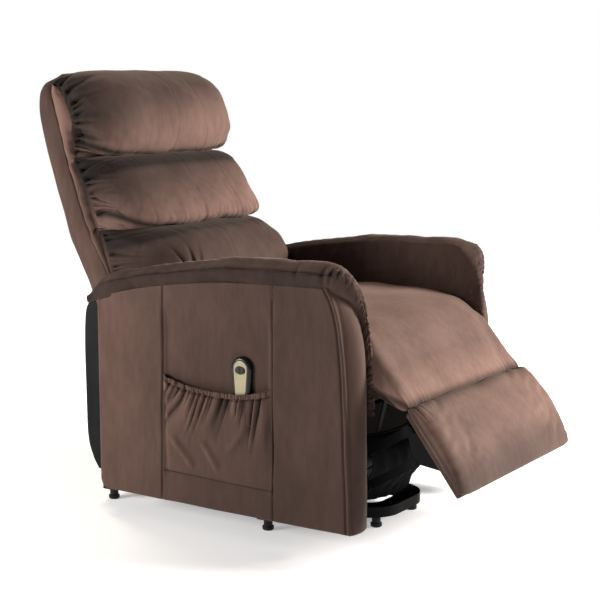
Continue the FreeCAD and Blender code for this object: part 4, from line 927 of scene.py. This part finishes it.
edge_round = 0.007
round_edge = [(edge_round * (1 - math.cos(a)), handset_out - edge_round + edge_round * math.sin(a))
              for a in np.linspace(0, pi / 2, 9)]
case_grid = carried_out(lambda inset: handset_outline(inset, case_low[2] + inset),
                        [(0.002, handset_back), (0.0, handset_back + 0.002)] + round_edge)
case = lay("handset_shell", case_grid, finishes["gloss_black"], closed=True, poles=True, side=-1)
dress(case, "handset", "handset_case", slot="gloss_black")
plate_inset, plate_low = 0.0088, case_high[2] - 0.112
plate_steps = ((0.0, -0.001), (0.0, 0.0004), (0.0003, 0.0008), (0.0008, 0.0010), (0.0016, 0.0010))
plate_grid = carried_out(lambda inset: handset_outline(plate_inset + inset, plate_low + inset),
                         [(inset, handset_out + out) for inset, out in plate_steps])
plate = lay("handset_plate", plate_grid, finishes["champagne"], closed=True, poles=True, side=-1)
dress(plate, "handset", "handset_face", slot="champagne")
oval_turn = np.linspace(0, 2 * pi, 49)[:-1]
oval_half = (button_high - button_low)[1:] / 2 + (0.0035, 0.0030)
oval_middle = (button_high + button_low)[1:] / 2 - (front_line, 0)
oval_round = np.stack([np.cos(oval_turn), np.sin(oval_turn)], 1)
oval_steps = ((0.0, -0.001), (0.0, 0.0013), (0.0006, 0.0018), (0.0012, 0.0018))
oval_grid = carried_out(lambda inset: oval_middle + (oval_half - inset) * oval_round,
                        [(inset, handset_out + out) for inset, out in oval_steps])
oval = lay("handset_oval", oval_grid, finishes["black_plastic"], closed=True, poles=True, side=-1)
dress(oval, "handset", "handset_face", slot="gloss_black")

# side pocket with a gathered hem
pocket_top = [(0.190, 0.361), (0.200, 0.357), (0.236, 0.345), (0.319, 0.334), (0.432, 0.341), (0.517, 0.361),
              (0.530, 0.366)]
pocket_wall, pocket_hem = 0.3260, 0.940
pocket_creases = [[(0.489, 0.217), (0.455, 0.180), (0.421, 0.140)],
                  [(0.398, 0.213), (0.376, 0.185), (0.352, 0.146)],
                  [(0.2755, 0.308), (0.2745, 0.262), (0.300, 0.225), (0.3256, 0.201)]]


def creased(y, z):
    """Ridges along the slack's three creases, each with a hollow in front of it, fading towards its ends. A
    point's place comes from its distance to the points of the crease's curve."""
    crease = 0 * z
    for line in pocket_creases:
        track = curve(line, 60)
        far = np.hypot((y + 0 * z)[..., None] - track[:, 0], z[..., None] - track[:, 1])
        beside = np.hypot((y + 0.014 + 0 * z)[..., None] - track[:, 0], z[..., None] - track[:, 1])
        at = far.argmin(-1) / 59
        fade = ease(at / 0.25 + 0.2) * ease((1 - at) / 0.25 + 0.2)
        crease = crease + fade * (bump(far.min(-1), 0.0075) - 0.6 * bump(beside.min(-1), 0.012))
    return crease


def pocket():
    """A patch held at both sides and the bottom, standing off the panel towards its gathered top. Broad folds fan
    down from a finely ruched hem and fade half way, two slanting creases and a curved one cross the slack below
    them, and the cloth is pressed out over the handset."""
    across = np.linspace(0, 1, 260)[:, None]
    up = np.concatenate([np.linspace(0, 0.93, 80), np.linspace(0.935, 1, 16)])[None]
    y0, y1 = seam_depths[0] + 0.001, seam_depths[1] - 0.005
    y = y0 + across * (y1 - y0)
    top, low = through(pocket_top, y), np.interp(y, [0.18, 0.52], [0.121, 0.127])
    z = low + up * (top - low)
    edge = np.minimum(across, 1 - across) * (y1 - y0)
    ends = ease(edge / 0.020)
    hollow = pocket_recess * between_seams(y) * ease((z - 0.10) / 0.04)
    bulge = 0.0045 * bump(y - handset_middle, 0.045) * bump(up - 0.75, 0.35)
    stand = 0.0090 + 0.0030 * bump(up, 0.06) - hollow
    stand = stand + (0.006 + 0.0120 * up**0.7) * ends * ease(up / 0.05) + bulge * ends
    fan = y - (0.03 + 0.10 * across) * (1 - up)
    broad = lobes(fan + 0.004 * wave(y * 9, 61), 0.036, 63, 1.5) - 0.55
    fine = lobes(fan, 0.0185, 69, 1.3) - 0.55
    depth = np.clip(0.56 + 0.22 * wave(y * 8, 65) + 0.12 * across, 0.30, 0.85)
    drop = ease((up - 1 + depth) / depth)
    drip = ease((up - 0.62) / 0.38)
    hem = ease((up - pocket_hem - 0.005) / 0.012)
    ruche = lobes(y, 0.0112, 67, 0.8) - 0.5
    crease = creased(y, z)
    fold = (0.0155 * broad * drop + 0.0075 * fine * drip) * (1 - 0.75 * hem)
    hem_groove = 0.0030 * bump(up - pocket_hem, 0.010)
    folds = (fold + 0.0040 * crease) * ease(up / 0.08) + 0.0055 * ruche * hem - hem_groove
    x = pocket_wall + stand + ends * folds
    press = ease((0.040 - np.abs(y - handset_middle)) / 0.014) * ease((z - 0.248) / 0.025)
    over_handset = handset_out + 0.0030 + 0.35 * ends * (0.0145 * broad * drop + 0.004 * ruche * hem)
    x = np.maximum(x, 0.30 + press * (over_handset - 0.30))
    z = z + hem * 0.0024 * ruche * ends
    # painted light and shade: fold ridges lighter and hollows darker, lighter towards the rear seam, the ruched
    # hem light and dark by its puffs, and painted shade along the hem's groove, the bottom seam and the side
    # edges
    shade = 0.90 * (1 + 1.9 * drop * np.clip(broad, -0.45, 0.30)) * (1 + 0.8 * drip * np.clip(fine, -0.55, 0.3))
    shade = shade * (0.96 + 0.36 * crease) * np.interp(y, [0.20, 0.33, 0.50], [0.78, 0.95, 1.12])
    shade = np.where(hem > 0.5, 0.45 + 0.65 * (ruche + 0.5), shade) * (1 - 0.6 * bump(up - pocket_hem, 0.012))
    shade = shade * (1 - 0.85 * bump(up, 0.020)) * (1 - 0.55 * bump(edge, 0.003))
    return np.stack([x, y + 0 * up, z], 2), np.clip(shade, 0.2, 1.4)


grid, shade = pocket()
pouch = lay("pocket_cover", grid, brown_side, side=-1, flip=True, shade=shade)
walled(pouch, 0.002)
dress(pouch, "chair", "side_pocket")


# black rear skirt and front curtain
cloth_wall = 0.0015


def rear_skirt():
    """A U of cloth hung behind the arms: near wing, rear sheet and far wing, with soft upright folds."""
    line = curve([(0.798, 0.500), (0.812, 0.470), (0.817, 0.400), (0.817, 0.290), (0.815, 0.160), (0.800, 0.110),
                  (0.777, 0.078)], 60)
    half, front, round_off = 0.2655, 0.714, 0.012
    wing = np.linspace(0, 1, 14)
    corner = np.linspace(0, pi / 2, 7)[1:]
    across = np.linspace(-1, 1, 70)[1:-1]
    near_x = np.concatenate([np.full(len(wing), half), half - round_off * (1 - np.cos(corner))])
    near_s = np.concatenate([wing * 0.9, 0.9 + 0.1 * np.sin(corner)])
    x = np.concatenate([near_x, -across * (half - round_off), -near_x[::-1]])
    s = np.concatenate([near_s, np.ones(len(across)), near_s[::-1]])
    y = front + s[:, None] * (line[None, :, 0] - front)
    z = np.repeat(line[None, :, 1], len(x), 0)
    z = np.where(s[:, None] < 0.98, np.clip(z, 0.066 + 0.012 * s[:, None], 0.503), z)
    rear = (s > 0.98)[:, None]
    y = y - rear * 0.006 * (0.5 + 0.5 * np.sin(x[:, None] * 48 + 0.6 * np.sin(z * 14)))
    xx = x[:, None] - np.sign(x)[:, None] * (1 - rear) * 0.003 * (0.5 + 0.5 * np.sin(y * 95 + z * 4))
    return np.stack([xx + 0 * z, y, z], 2)


skirt = lay("rear_skirt_cloth", rear_skirt(), finishes["skirt_black"])
walled(skirt, cloth_wall)
dress(skirt, "chair", "rear_skirt", slot="black_cloth")
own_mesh(skirt)


def front_curtain():
    """A bowed strip hung from its rod: it swells forward below the rod and draws in at its foot, with small
    upright folds."""
    line = curve([(0.072, 0.2175), (0.058, 0.214), (0.035, 0.190), (0.0275, 0.168), (0.029, 0.142),
                  (0.043, 0.117), (0.064, 0.090), (0.074, 0.064)], 46)
    half, bow = 0.128, 0.042
    x = np.linspace(-half, half, 110)[:, None]
    depth, z = line[None, :, 0], line[None, :, 1]
    folds = 0.0022 * np.sin(x * 190 + 1.5 * np.sin(z * 30)) * ease((0.215 - z) / 0.03)
    y = depth + bow * (x / half) ** 2 + folds
    return np.stack([x + 0 * y, y, z + 0 * y], 2)


curtain = lay("front_curtain_cloth", front_curtain(), finishes["black_cloth"])
walled(curtain, cloth_wall)
dress(curtain, "chair", "front_curtain", slot="black_cloth")
